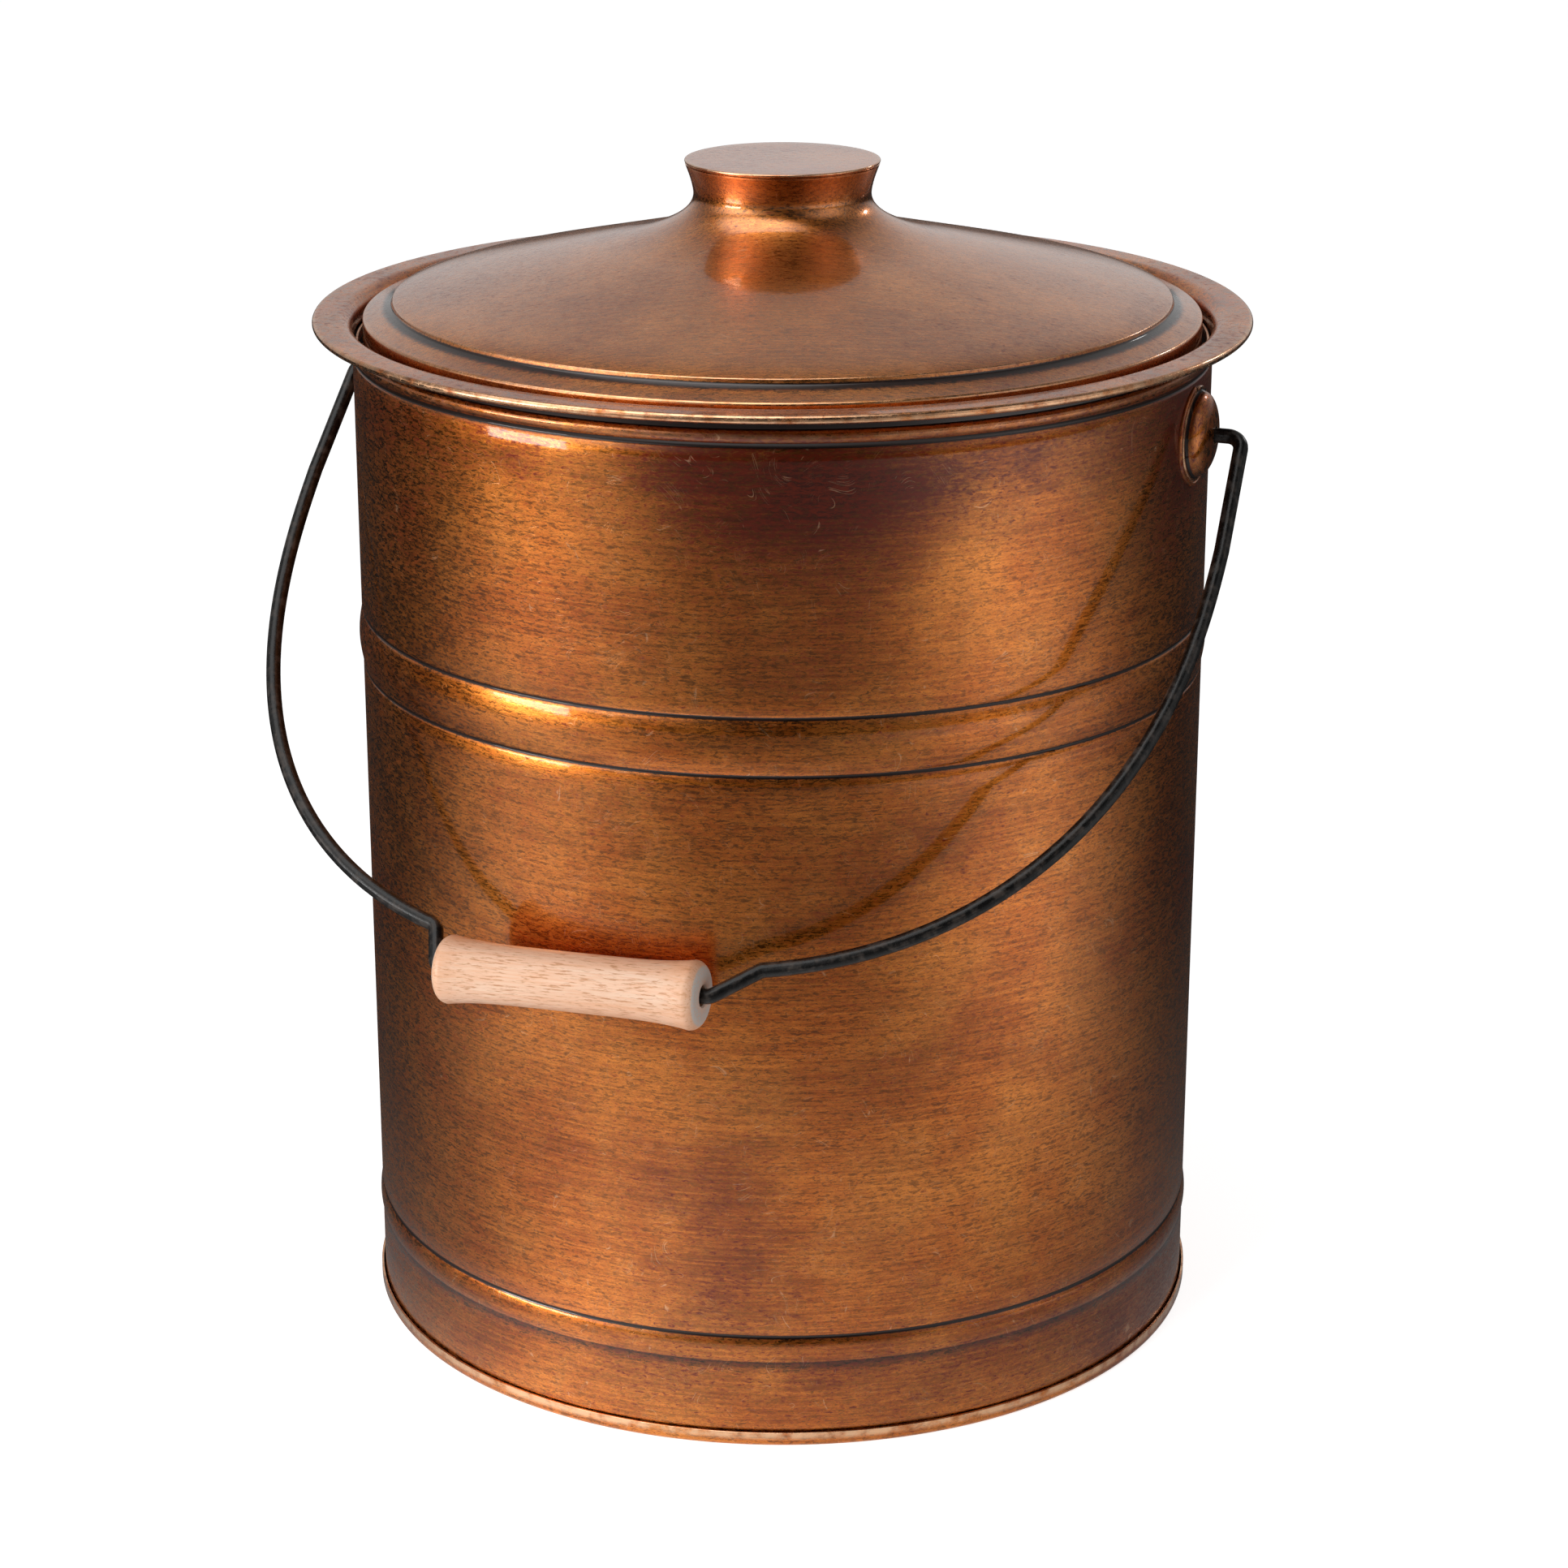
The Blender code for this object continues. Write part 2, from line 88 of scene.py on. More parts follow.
class NodeMaker:
    """Adds nodes to a tree and links them, for materials and geometry alike."""

    def __init__(self, tree: bpy.types.NodeTree) -> None:
        """Take the tree that the nodes go into."""
        self.tree = tree

    def add(self, kind: str, inputs: dict | None = None, **settings: object) -> bpy.types.Node:
        """Add one node.

        Args:
            kind: Blender's name for the type of node.
            inputs: A value or an output socket for each input, by its name or number.
            **settings: Properties of the node, such as its operation.

        Returns:
            The new node.
        """
        node = self.tree.nodes.new(kind)
        for name, value in settings.items():
            setattr(node, name, value)
        for key, value in (inputs or {}).items():
            if isinstance(value, Socket):
                self.tree.links.new(value, node.inputs[key])
            else:
                node.inputs[key].default_value = value
        return node

    def math(self, operation: str, first: object, second: object = 0.0, clamp: bool = False) -> Socket:
        """Add a Math node."""
        node = self.add("ShaderNodeMath", {0: first, 1: second}, operation=operation, use_clamp=clamp)
        return node.outputs[0]

    def swing(self, value: Socket, strength: float) -> Socket:
        """How far a value is above or below a half, made stronger or weaker."""
        return self.math("MULTIPLY", self.math("SUBTRACT", value, 0.5), strength)

    def total(self, *terms: tuple[Socket, float]) -> Socket:
        """Add up values.

        Args:
            *terms: Each value's socket and its factor.

        Returns:
            The sum's socket.
        """
        result = 0.0
        for value, factor in terms:
            part = value if factor == 1.0 else self.math("MULTIPLY", value, factor)
            result = self.math("ADD", part, result)
        return result

    def measure(self, operation: str, first: object, second: object = (0.0, 0.0, 0.0)) -> Socket:
        """Work a number out from vectors."""
        node = self.add("ShaderNodeVectorMath", {0: first, 1: second}, operation=operation)
        return node.outputs["Value"]

    def between(self, share: object, first: object, second: object) -> Socket:
        """Mix two numbers."""
        return self.add("ShaderNodeMix", {0: share, 2: first, 3: second}, data_type="FLOAT").outputs[0]

    def ramp(
        self, value: object, low: float, high: float, to_low: float = 0.0, to_high: float = 1.0
    ) -> Socket:
        """Map a range of a value smoothly onto another.

        Args:
            value: The socket to map.
            low: Where the range starts.
            high: Where the range ends.
            to_low: Result at the start and before it.
            to_high: Result at the end and past it.

        Returns:
            The mapped value's socket.
        """
        inputs = {"Value": value, "From Min": low, "From Max": high, "To Min": to_low, "To Max": to_high}
        node = self.add("ShaderNodeMapRange", inputs, interpolation_type="SMOOTHSTEP")
        return node.outputs["Result"]

    def blend(self, share: object, first: object, second: object, mode: str = "MIX") -> Socket:
        """Mix two colours.

        Args:
            share: How much of the second colour, as a number or a socket.
            first: A colour or a socket.
            second: A colour or a socket.
            mode: How they are mixed.

        Returns:
            The mixed colour's socket.
        """
        node = self.add("ShaderNodeMix", {0: share}, data_type="RGBA", blend_type=mode)
        for key, value in ((6, first), (7, second)):
            if isinstance(value, Socket):
                self.tree.links.new(value, node.inputs[key])
            else:
                node.inputs[key].default_value = (*value, 1.0)
        return node.outputs[2]

    def noise(
        self, place: object, scale: float, detail: float = 3.0, roughness: float = 0.5, warp: float = 0.0
    ) -> Socket:
        """Add a Noise Texture."""
        inputs = {"Vector": place, "Scale": scale, "Detail": detail, "Roughness": roughness}
        return self.add("ShaderNodeTexNoise", {**inputs, "Distortion": warp}).outputs[0]

    def stretched(
        self, place: object, scale: Sequence[float], turn: Sequence[float] = (0.0, 0.0, 0.0)
    ) -> Socket:
        """Turn and then stretch a pattern's coordinates."""
        turned = self.add("ShaderNodeMapping", {"Vector": place, "Rotation": turn}).outputs[0]
        return self.add("ShaderNodeMapping", {"Vector": turned, "Scale": scale}).outputs[0]

    def held(self, name: str) -> bpy.types.Node:
        """Add a shader node that reads an attribute of the mesh, by its name."""
        return self.add("ShaderNodeAttribute", attribute_name=name)

    def object_place(self) -> Socket:
        """The socket of the coordinates in the object's own frame."""
        return self.add("ShaderNodeTexCoord").outputs["Object"]

    def bump(self, strength: float, distance: float, height: Socket) -> Socket:
        """Add a Bump node."""
        inputs = {"Strength": strength, "Distance": distance, "Height": height}
        return self.add("ShaderNodeBump", inputs).outputs[0]

    def drive(self, shader: bpy.types.Node, **values: object) -> None:
        """Set a shader's inputs.

        Args:
            shader: The shader node.
            **values: A socket or a value for each input, by its name with _ for a space.
        """
        for name, value in values.items():
            target = shader.inputs[name.replace("_", " ")]
            if isinstance(value, Socket):
                self.tree.links.new(value, target)
            else:
                target.default_value = value

    def read(self, name: str) -> Socket:
        """In geometry nodes, the socket of a number held by the points, by its name."""
        return self.add("GeometryNodeInputNamedAttribute", {"Name": name}, data_type="FLOAT").outputs[0]

    def store(self, geometry: Socket, name: str, value: Socket, kind: str = "FLOAT") -> Socket:
        """In geometry nodes, hold a value in the points."""
        inputs = {"Geometry": geometry, "Name": name, "Value": value}
        return self.add("GeometryNodeStoreNamedAttribute", inputs, data_type=kind, domain="POINT").outputs[0]


def new_material(name: str) -> tuple[bpy.types.Material, NodeMaker, bpy.types.Node]:
    """Start a material.

    Args:
        name: Its name.

    Returns:
        The material, a maker for its nodes and its Principled shader.
    """
    material = bpy.data.materials.new(name)
    material.use_nodes = True
    return material, NodeMaker(material.node_tree), material.node_tree.nodes["Principled BSDF"]


def placed(name: str, data: bpy.types.ID) -> bpy.types.Object:
    """Make an object and put it in the scene.

    Args:
        name: Its name.
        data: Its mesh, light or camera.

    Returns:
        The object.
    """
    item = bpy.data.objects.new(name, data)
    bpy.context.scene.collection.objects.link(item)
    return item


# ---------------------------------------------------------------- finishes


@dataclass(frozen=True)
class CopperFinish:
    """Antiqued copper plate on sheet steel: brushed, darkened in patches and lacquered."""

    name: str
    grain: Grain = Grain.AROUND
    bright: Colour = (0.86, 0.272, 0.040)
    warm: Colour = (0.62, 0.142, 0.012)
    dark: Colour = (0.13, 0.012, 0.001)
    soot: Colour = (0.012, 0.006, 0.004)
    # Colour of scratches and rubbed ridges; on the ridges it is partly real wear and partly a painted
    # highlight.
    worn_and_highlight: Colour = (0.93, 0.58, 0.34)
    patina: float = 0.5
    shade: float = 0.34
    roughness: float = 0.31
    coat: float = 0.5
    coat_roughness: float = 0.07
    coat_ior: float = 1.6
    scratched: float = 0.28
    # How strongly the ridges take that colour: rubbed wear together with a painted highlight.
    rubbed: float = 0.7
    brush_turn: float = math.radians(-20.8)
    zones: tuple[Zone, ...] = ()

    def place(self, maker: NodeMaker) -> Socket:
        """Where on the piece a pattern is.

        Args:
            maker: The material's node maker.

        Returns:
            The socket of the coordinates.
        """
        if self.grain is Grain.OWN:
            return maker.held("own").outputs["Vector"]
        return maker.object_place()

    def streaks(self, maker: NodeMaker, place: Socket) -> tuple[Socket, Socket]:
        """The short fine streaks of the brushing, and the long ones.

        Args:
            maker: The material's node maker.
            place: The coordinates.

        Returns:
            The sockets of the short streaks and of the long ones.
        """
        across = self.grain is Grain.ACROSS
        fine = (0.28, 1.0 if across else 0.28, 1.0)
        long = (0.03, 0.9 if across else 0.03, 0.9)
        turn = (0.0, 0.0, self.brush_turn if across else 0.0)
        short = maker.noise(maker.stretched(place, fine, turn), 1250.0, 3.0, 0.75, 0.6)
        lines = maker.noise(maker.stretched(place, long, turn), 1300.0, 2.0, 0.5)
        return short, lines

    def zone_darkening(self, maker: NodeMaker, place: Socket) -> Socket | float:
        """How much darker the colour is in the zones: patina and stains, and in the band under the wall's rim
        also painted shade. A zone on the axis is a band round the whole piece.

        Args:
            maker: The material's node maker.
            place: The coordinates.

        Returns:
            The socket of the extra patina, or 0 where there are no zones.
        """
        total = 0.0
        for x, y, z, reach, strength in self.zones:
            if x == 0.0 and y == 0.0:
                height = maker.add("ShaderNodeSeparateXYZ", {0: place}).outputs["Z"]
                distance = maker.math("ABSOLUTE", maker.math("SUBTRACT", height, z))
            else:
                distance = maker.measure("DISTANCE", place, (x, y, z))
            total = maker.math("ADD", total, maker.ramp(distance, 0.0, reach, strength, 0.0))
        return total

    def darkening(self, maker: NodeMaker, place: Socket, short: Socket) -> Socket:
        """How dark the patina is from place to place, with the zones added, one of them a band of painted
        shade under the wall's rim.

        Args:
            maker: The material's node maker.
            place: The coordinates.
            short: The short streaks, which break the patina up.

        Returns:
            The socket of the darkening, patina together with the painted shade of the zones, from 0 to 1.
        """
        flat = (0.8, 0.8, 1.25)
        clouds = maker.noise(maker.stretched(place, flat), 13.0, 4.0, 0.55, 0.4)
        patches = maker.noise(maker.stretched(place, (0.6, 0.6, 1.2)), 90.0, 4.0, 0.65, 0.6)
        specks = maker.noise(maker.stretched(place, (0.5, 0.5, 1.0)), 900.0, 4.0, 0.7, 0.4)
        level = maker.swing(clouds, 2.0)
        for layer, strength in ((patches, 0.8), (specks, 1.4), (short, 5.0)):
            level = maker.math("ADD", level, maker.swing(layer, strength))
        # The zones add stains and patina, and on the wall a band of painted shade under the rim.
        level = maker.math("ADD", level, self.zone_darkening(maker, place))
        in_hollow = maker.ramp(maker.held("ridge").outputs["Fac"], -0.45, -0.04, 1.6, 0.0)
        level = maker.math("ADD", level, in_hollow)
        shift = 0.6 * (0.5 - self.patina)
        return maker.ramp(level, shift - 0.45, shift + 1.40)

    def scratches(self, maker: NodeMaker, place: Socket) -> Socket:
        """Scattered short hair scratches, slightly curved.

        Args:
            maker: The material's node maker.
            place: The coordinates.

        Returns:
            The socket of the scratches, 1 in a scratch.
        """
        total = None
        for turn, scale in ((0.3, 70.0), (1.35, 55.0), (2.4, 85.0)):
            bent = maker.noise(place, 30.0, 1.0)
            shift = maker.add("ShaderNodeVectorMath", {0: place, 1: bent}, operation="ADD").outputs[0]
            laid = maker.stretched(shift, (0.22, 0.22, 1.0), (turn, 0.4 * turn, 0.7 * turn))
            inputs = {"Vector": laid, "Scale": scale}
            cells = maker.add("ShaderNodeTexVoronoi", inputs, feature="DISTANCE_TO_EDGE")
            line = maker.ramp(cells.outputs["Distance"], 0.004, 0.013, 1.0, 0.0)
            kept = maker.ramp(maker.noise(place, scale * 1.9, 2.0), 0.60, 0.66)
            part = maker.math("MULTIPLY", line, kept)
            total = part if total is None else maker.math("MAXIMUM", total, part)
        return total

    def material(self) -> bpy.types.Material:
        """Build the finish.

        Returns:
            The finished material.
        """
        material, maker, shader = new_material(self.name)
        place = self.place(maker)
        short, lines = self.streaks(maker, place)
        # patina also carries the wall's band of painted shade under the rim.
        patina = self.darkening(maker, place, short)
        scratches = self.scratches(maker, place)
        ridge = maker.held("ridge").outputs["Fac"]
        wear_noise = maker.noise(place, 160.0, 3.0, 0.6)
        # Sharp convex edges (rolls, rims, lips of the lines) get the worn colour: partly real rubbed wear,
        # partly a painted highlight.
        on_ridge = maker.ramp(ridge, 0.22, 0.70)
        wear_and_highlight = maker.math("MULTIPLY", on_ridge, maker.ramp(wear_noise, 0.25, 0.62), True)

        hue = maker.noise(place, 26.0, 4.0, 0.6)
        plate = maker.blend(maker.ramp(hue, 0.34, 0.68), self.warm, self.bright)
        plate = maker.blend(maker.ramp(lines, 0.30, 0.75, 0.0, 0.5), plate, self.bright)
        colour = maker.blend(patina, plate, self.dark)
        tone = maker.ramp(maker.total((short, 1.0), (lines, 0.2)), 0.46, 0.72, self.shade, 1.12)
        inputs = {0: colour, "Scale": tone}
        colour = maker.add("ShaderNodeVectorMath", inputs, operation="SCALE").outputs[0]
        colour = maker.blend(maker.math("MULTIPLY", scratches, self.scratched), colour, self.worn_and_highlight)
        colour = maker.blend(maker.math("MULTIPLY", wear_and_highlight, self.rubbed), colour, self.worn_and_highlight)
        gap = maker.math("ADD", ridge, maker.swing(short, 0.5))
        colour = maker.blend(maker.ramp(gap, -0.26, -0.04, 0.96, 0.0), colour, self.soot)

        rough = maker.ramp(patina, 0.0, 1.0, self.roughness - 0.03, self.roughness + 0.16)
        rough = maker.total((rough, 1.0), (maker.ramp(short, 0.2, 0.8, -0.06, 0.06), 1.0), (wear_and_highlight, -0.12))
        metallic = maker.ramp(patina, 0.3, 1.0, 1.0, 0.82)

        height = maker.total((short, 0.55), (lines, 0.5), (scratches, -0.35))
        peel = maker.bump(0.05, 0.3 * MM, maker.noise(place, 500.0, 2.0))
        maker.drive(shader, Base_Color=colour, Roughness=rough, Metallic=metallic)
        maker.drive(shader, Normal=maker.bump(0.16, 0.35 * MM, height), Coat_Normal=peel)
        maker.drive(shader, Coat_Weight=self.coat, Coat_Roughness=self.coat_roughness, Coat_IOR=self.coat_ior)
        return material


@dataclass(frozen=True)
class SteelFinish:
    """Plain or thinly plated sheet, dull, with rolling marks and a few stains."""

    name: str
    colour: Colour = (0.33, 0.31, 0.29)
    stain: Colour = (0.16, 0.13, 0.11)
    roughness: float = 0.42

    def material(self) -> bpy.types.Material:
        """Build the finish.

        Returns:
            The finished material.
        """
        material, maker, shader = new_material(self.name)
        place = maker.object_place()
        marks = maker.noise(maker.stretched(place, (0.08, 1.0, 1.0)), 900.0, 3.0, 0.6)
        stains = maker.ramp(maker.noise(place, 38.0, 5.0, 0.65, 0.8), 0.48, 0.72)
        ridge = maker.held("ridge").outputs["Fac"]
        dirt = maker.math("ADD", stains, maker.ramp(ridge, -0.4, -0.05, 0.8, 0.0), True)
        colour = maker.blend(maker.math("MULTIPLY", dirt, 0.8), self.colour, self.stain)
        colour = maker.blend(maker.ramp(marks, 0.3, 0.7, 0.0, 0.35), colour, self.stain)
        bright = tuple(min(1.0, part * 1.6) for part in self.colour)
        colour = maker.blend(maker.ramp(ridge, 0.12, 0.5, 0.0, 0.6), colour, bright)
        rough = maker.ramp(dirt, 0.0, 1.0, self.roughness - 0.08, self.roughness + 0.14)
        maker.drive(shader, Base_Color=colour, Roughness=rough, Metallic=1.0)
        maker.drive(shader, Normal=maker.bump(0.12, 0.3 * MM, marks))
        return material


@dataclass(frozen=True)
class WireFinish:
    """Black satin coat on drawn wire, rubbed thin here and there."""

    name: str = "black_wire_coat"
    coat: Colour = (0.004, 0.0037, 0.0036)
    rubbed: Colour = (0.045, 0.036, 0.031)

    def material(self) -> bpy.types.Material:
        """Build the finish.

        Returns:
            The finished material.
        """
        material, maker, shader = new_material(self.name)
        own = maker.held("own").outputs["Vector"]
        place = maker.object_place()
        drawn = maker.noise(maker.stretched(own, (0.04, 1.0, 1.0)), 1500.0, 3.0, 0.6)
        lumps = maker.noise(place, 260.0, 4.0, 0.6)
        grit = maker.noise(place, 2400.0, 2.0, 0.6)
        rub = maker.ramp(maker.total((lumps, 1.0), (drawn, 0.4)), 0.66, 0.92)
        colour = maker.blend(rub, self.coat, self.rubbed)
        rough = maker.total((maker.ramp(lumps, 0.3, 0.7, 0.18, 0.32), 1.0), (grit, 0.08))
        height = maker.total((lumps, 0.8), (drawn, 0.35), (grit, 0.2))
        maker.drive(shader, Base_Color=colour, Roughness=rough, Normal=maker.bump(0.35, 0.5 * MM, height))
        maker.drive(shader, Specular_IOR_Level=0.27)
        return material


@dataclass(frozen=True)
class BeechFinish:
    """Pale turned beech, thinly varnished, with short flecks along the grain."""

    name: str = "beech"
    pale: Colour = (0.92, 0.64, 0.47)
    deep: Colour = (0.84, 0.44, 0.25)
    fleck: Colour = (0.56, 0.25, 0.11)
    end: Colour = (0.62, 0.58, 0.54)
    half_length: float = 45.5 * MM

    def material(self) -> bpy.types.Material:
        """Build the finish. The grain runs along the Z of the grip's own coordinates.

        Returns:
            The finished material.
        """
        material, maker, shader = new_material(self.name)
        own = maker.held("own").outputs["Vector"]
        rings = maker.noise(maker.stretched(own, (1.0, 0.35, 0.02)), 420.0, 3.0, 0.6, 0.5)
        fibres = maker.noise(maker.stretched(own, (1.0, 1.0, 0.045)), 2100.0, 3.0, 0.6)
        flecks = maker.noise(maker.stretched(own, (1.0, 1.0, 0.12)), 1700.0, 3.0, 0.6)
        fleck_share = maker.ramp(flecks, 0.52, 0.66)
        blush = maker.noise(maker.stretched(own, (1.0, 1.0, 0.3)), 60.0, 3.0)
        colour = maker.blend(maker.ramp(rings, 0.35, 0.70, 0.0, 0.75), self.pale, self.deep)
        colour = maker.blend(maker.ramp(blush, 0.50, 0.72, 0.0, 0.45), colour, self.deep)
        colour = maker.blend(maker.ramp(fibres, 0.42, 0.70, 0.0, 0.60), colour, self.deep)
        colour = maker.blend(maker.math("MULTIPLY", fleck_share, 0.85), colour, self.fleck)
        along = maker.add("ShaderNodeSeparateXYZ", {0: own}).outputs["Z"]
        distance = maker.math("ABSOLUTE", along)
        is_end = maker.ramp(distance, self.half_length - 0.9 * MM, self.half_length - 0.35 * MM)
        pores = maker.ramp(maker.noise(own, 1500.0, 3.0, 0.7), 0.45, 0.70, 0.0, 0.6)
        end_colour = maker.blend(pores, self.end, self.deep)
        ridge = maker.held("ridge").outputs["Fac"]
        # Deeper colour towards both ends of the grip.
        toward_ends = maker.ramp(distance, self.half_length * 0.70, self.half_length * 0.97, 0.0, 0.45)
        colour = maker.blend(toward_ends, colour, self.deep)
        colour = maker.blend(is_end, colour, end_colour)
        colour = maker.blend(maker.ramp(ridge, 0.15, 0.6, 0.0, 0.35), colour, self.deep)
        rough = maker.ramp(is_end, 0.0, 1.0, 0.42, 0.75)
        height = maker.total((fibres, 0.5), (fleck_share, -1.0))
        maker.drive(shader, Base_Color=colour, Roughness=rough, Normal=maker.bump(0.25, 0.2 * MM, height))
        maker.drive(shader, Coat_Weight=0.18, Coat_Roughness=0.3, Subsurface_Weight=0.06)
        maker.drive(shader, Subsurface_Radius=(2 * MM, 1 * MM, 0.5 * MM))
        return material


# ---------------------------------------------------------------- sections and their turning


@dataclass
class Section:
    """Half section of a turned piece: (radius, height) points, along its outside from the top down."""

    points: list[Point] = field(default_factory=list)

    def to(self, *points: Point) -> "Section":
        """Go on in straight runs."""
        self.points.extend(points)
        return self

    def arc(self, centre: Point, radius: float, start: float, end: float, steps: int = 10) -> "Section":
        """Go on along an arc.

        Args:
            centre: Its centre.
            radius: Its radius.
            start: Angle it starts at, in degrees from outwards.
            end: Angle it ends at.
            steps: Number of chords.

        Returns:
            This section.
        """
        for i in range(steps + 1):
            angle = math.radians(start + (end - start) * i / steps)
            self.points.append((centre[0] + radius * math.cos(angle), centre[1] + radius * math.sin(angle)))
        return self

    def rib(
        self, radius: float, top: float, height: float, proud: float, steps: int = 16, fullness: float = 0.8
    ) -> "Section":
        """Go on over a rounded rib that stands out of a wall.

        Args:
            radius: Outside of the wall.
            top: Where the rib starts.
            height: Its height.
            proud: How far it stands out.
            steps: Number of chords.
            fullness: 1 for a plain wave, less for a fuller rib.

        Returns:
            This section.
        """
        for i in range(steps + 1):
            share = i / steps
            out = proud * max(math.sin(math.pi * share), 0.0) ** fullness
            self.points.append((radius + out, top - height * share))
        return self

    def line(self, radius: float, height: float, width: float, depth: float, steps: int = 6) -> "Section":
        """Go on through a fine rolled line.

        Args:
            radius: Outside of the wall.
            height: Middle of the line.
            width: Its width.
            depth: Its depth.
            steps: Number of chords.

        Returns:
            This section.
        """
        for i in range(steps + 1):
            share = i / steps
            dip = depth * (0.5 - 0.5 * math.cos(math.tau * share)) ** 0.8
            self.points.append((radius - dip, height + width * (0.5 - share)))
        return self

    def curve(self, shape: object, start: float, end: float, steps: int) -> "Section":
        """Go on along a curve given by a rule."""
        self.points.extend(shape(start + (end - start) * i / steps) for i in range(steps + 1))
        return self

    def raised(self, height: float) -> "Section":
        """The same section, moved up."""
        return Section([(radius, z + height) for radius, z in self.points])

    def cleaned(self, closest: float = CLOSEST) -> list[Point]:
        """The points without repeats.

        Args:
            closest: Points nearer than this are one.

        Returns:
            The points that are left.
        """
        kept: list[Point] = []
        for point in self.points:
            if not kept or math.dist(point, kept[-1]) > closest:
                kept.append(point)
        return kept

    def filled_in(self, longest: float) -> "Section":
        """The same section with long straight runs divided.

        Args:
            longest: No run is longer than this.

        Returns:
            A new section.
        """
        points = self.cleaned()
        result = [points[0]]
        for before, after in zip(points, points[1:]):
            parts = max(1, math.ceil(math.dist(before, after) / longest))
            for i in range(1, parts + 1):
                result.append(tuple(a + (b - a) * (i / parts) for a, b in zip(before, after)))
        return Section(result)

    def walled(self, wall: float) -> "Section":
        """A closed section: this outline and its inner side, a wall's thickness away.

        Args:
            wall: Thickness of the sheet.

        Returns:
            A new section.
        """
        outside = np.array(self.cleaned())
        runs = np.diff(outside, axis=0)
        runs /= np.linalg.norm(runs, axis=1)[:, None]
        normals = np.stack([runs[:, 1], -runs[:, 0]], axis=1)
        first = np.vstack([normals[:1], normals])
        last = np.vstack([normals, normals[-1:]])
        middle = first + last
        middle /= np.linalg.norm(middle, axis=1)[:, None]
        reach = wall / np.clip((middle * last).sum(axis=1), 0.5, 1.0)
        inside = outside + middle * reach[:, None]
        on_axis = outside[:, 0] < wall
        inside[on_axis, 0] = outside[on_axis, 0]
        return Section([tuple(p) for p in outside] + [tuple(p) for p in inside[::-1]])


def ridges(points: np.ndarray, reach: float) -> np.ndarray:
    """How sharply a closed outline turns at each point, seen at a small scale.

    Args:
        points: The outline's points, traced clockwise.
        reach: How far the outline is looked at to each side.

    Returns:
        A number for each point, above 0 on a ridge and below 0 in a hollow.
    """
    runs = np.linalg.norm(np.roll(points, -1, axis=0) - points, axis=1)
    stops = np.concatenate([[0.0], np.cumsum(runs)])
    total = stops[-1]
    loop = np.vstack([points, points[:1]])

    def at(distance: np.ndarray) -> np.ndarray:
        """The outline's point at a distance along it."""
        wrapped = np.mod(distance, total)
        return np.stack([np.interp(wrapped, stops, loop[:, k]) for k in (0, 1)], axis=1)

    here = stops[:-1]
    back = points - at(here - reach)
    ahead = at(here + reach) - points
    turn = np.arctan2(back[:, 1] * ahead[:, 0] - back[:, 0] * ahead[:, 1], (back * ahead).sum(axis=1))
    return np.clip(turn / (math.pi / 2), -1.0, 1.0)


def open_tree(name: str, source: str, values: dict[str, str]) -> tuple[bpy.types.NodeTree, dict[str, str]]:
    """Start a Geometry Nodes tree.

    Args:
        name: Its name.
        source: Name of its input for geometry.
        values: Type of each other input, by its name.

    Returns:
        The tree, and the identifiers of the other inputs by their names.
    """
    tree = bpy.data.node_groups.new(name, "GeometryNodeTree")
    face = tree.interface
    face.new_socket(source, in_out="INPUT", socket_type="NodeSocketGeometry")
    keys = {}
    for value, kind in values.items():
        keys[value] = face.new_socket(value, in_out="INPUT", socket_type="NodeSocket" + kind).identifier
    face.new_socket("Piece", in_out="OUTPUT", socket_type="NodeSocketGeometry")
    return tree, keys


def close_tree(maker: NodeMaker, geometry: Socket, finish: Socket) -> None:
    """End a Geometry Nodes tree: smooth the geometry, realize it and give it its material.

    Args:
        maker: The tree's node maker.
        geometry: The geometry's socket.
        finish: The material's socket.
    """
    for kind in ("GeometryNodeSetShadeSmooth", "GeometryNodeRealizeInstances"):
        geometry = maker.add(kind, {"Geometry": geometry}).outputs[0]
    geometry = maker.add("GeometryNodeSetMaterial", {"Geometry": geometry, "Material": finish}).outputs[0]
    maker.add("NodeGroupOutput", {0: geometry})


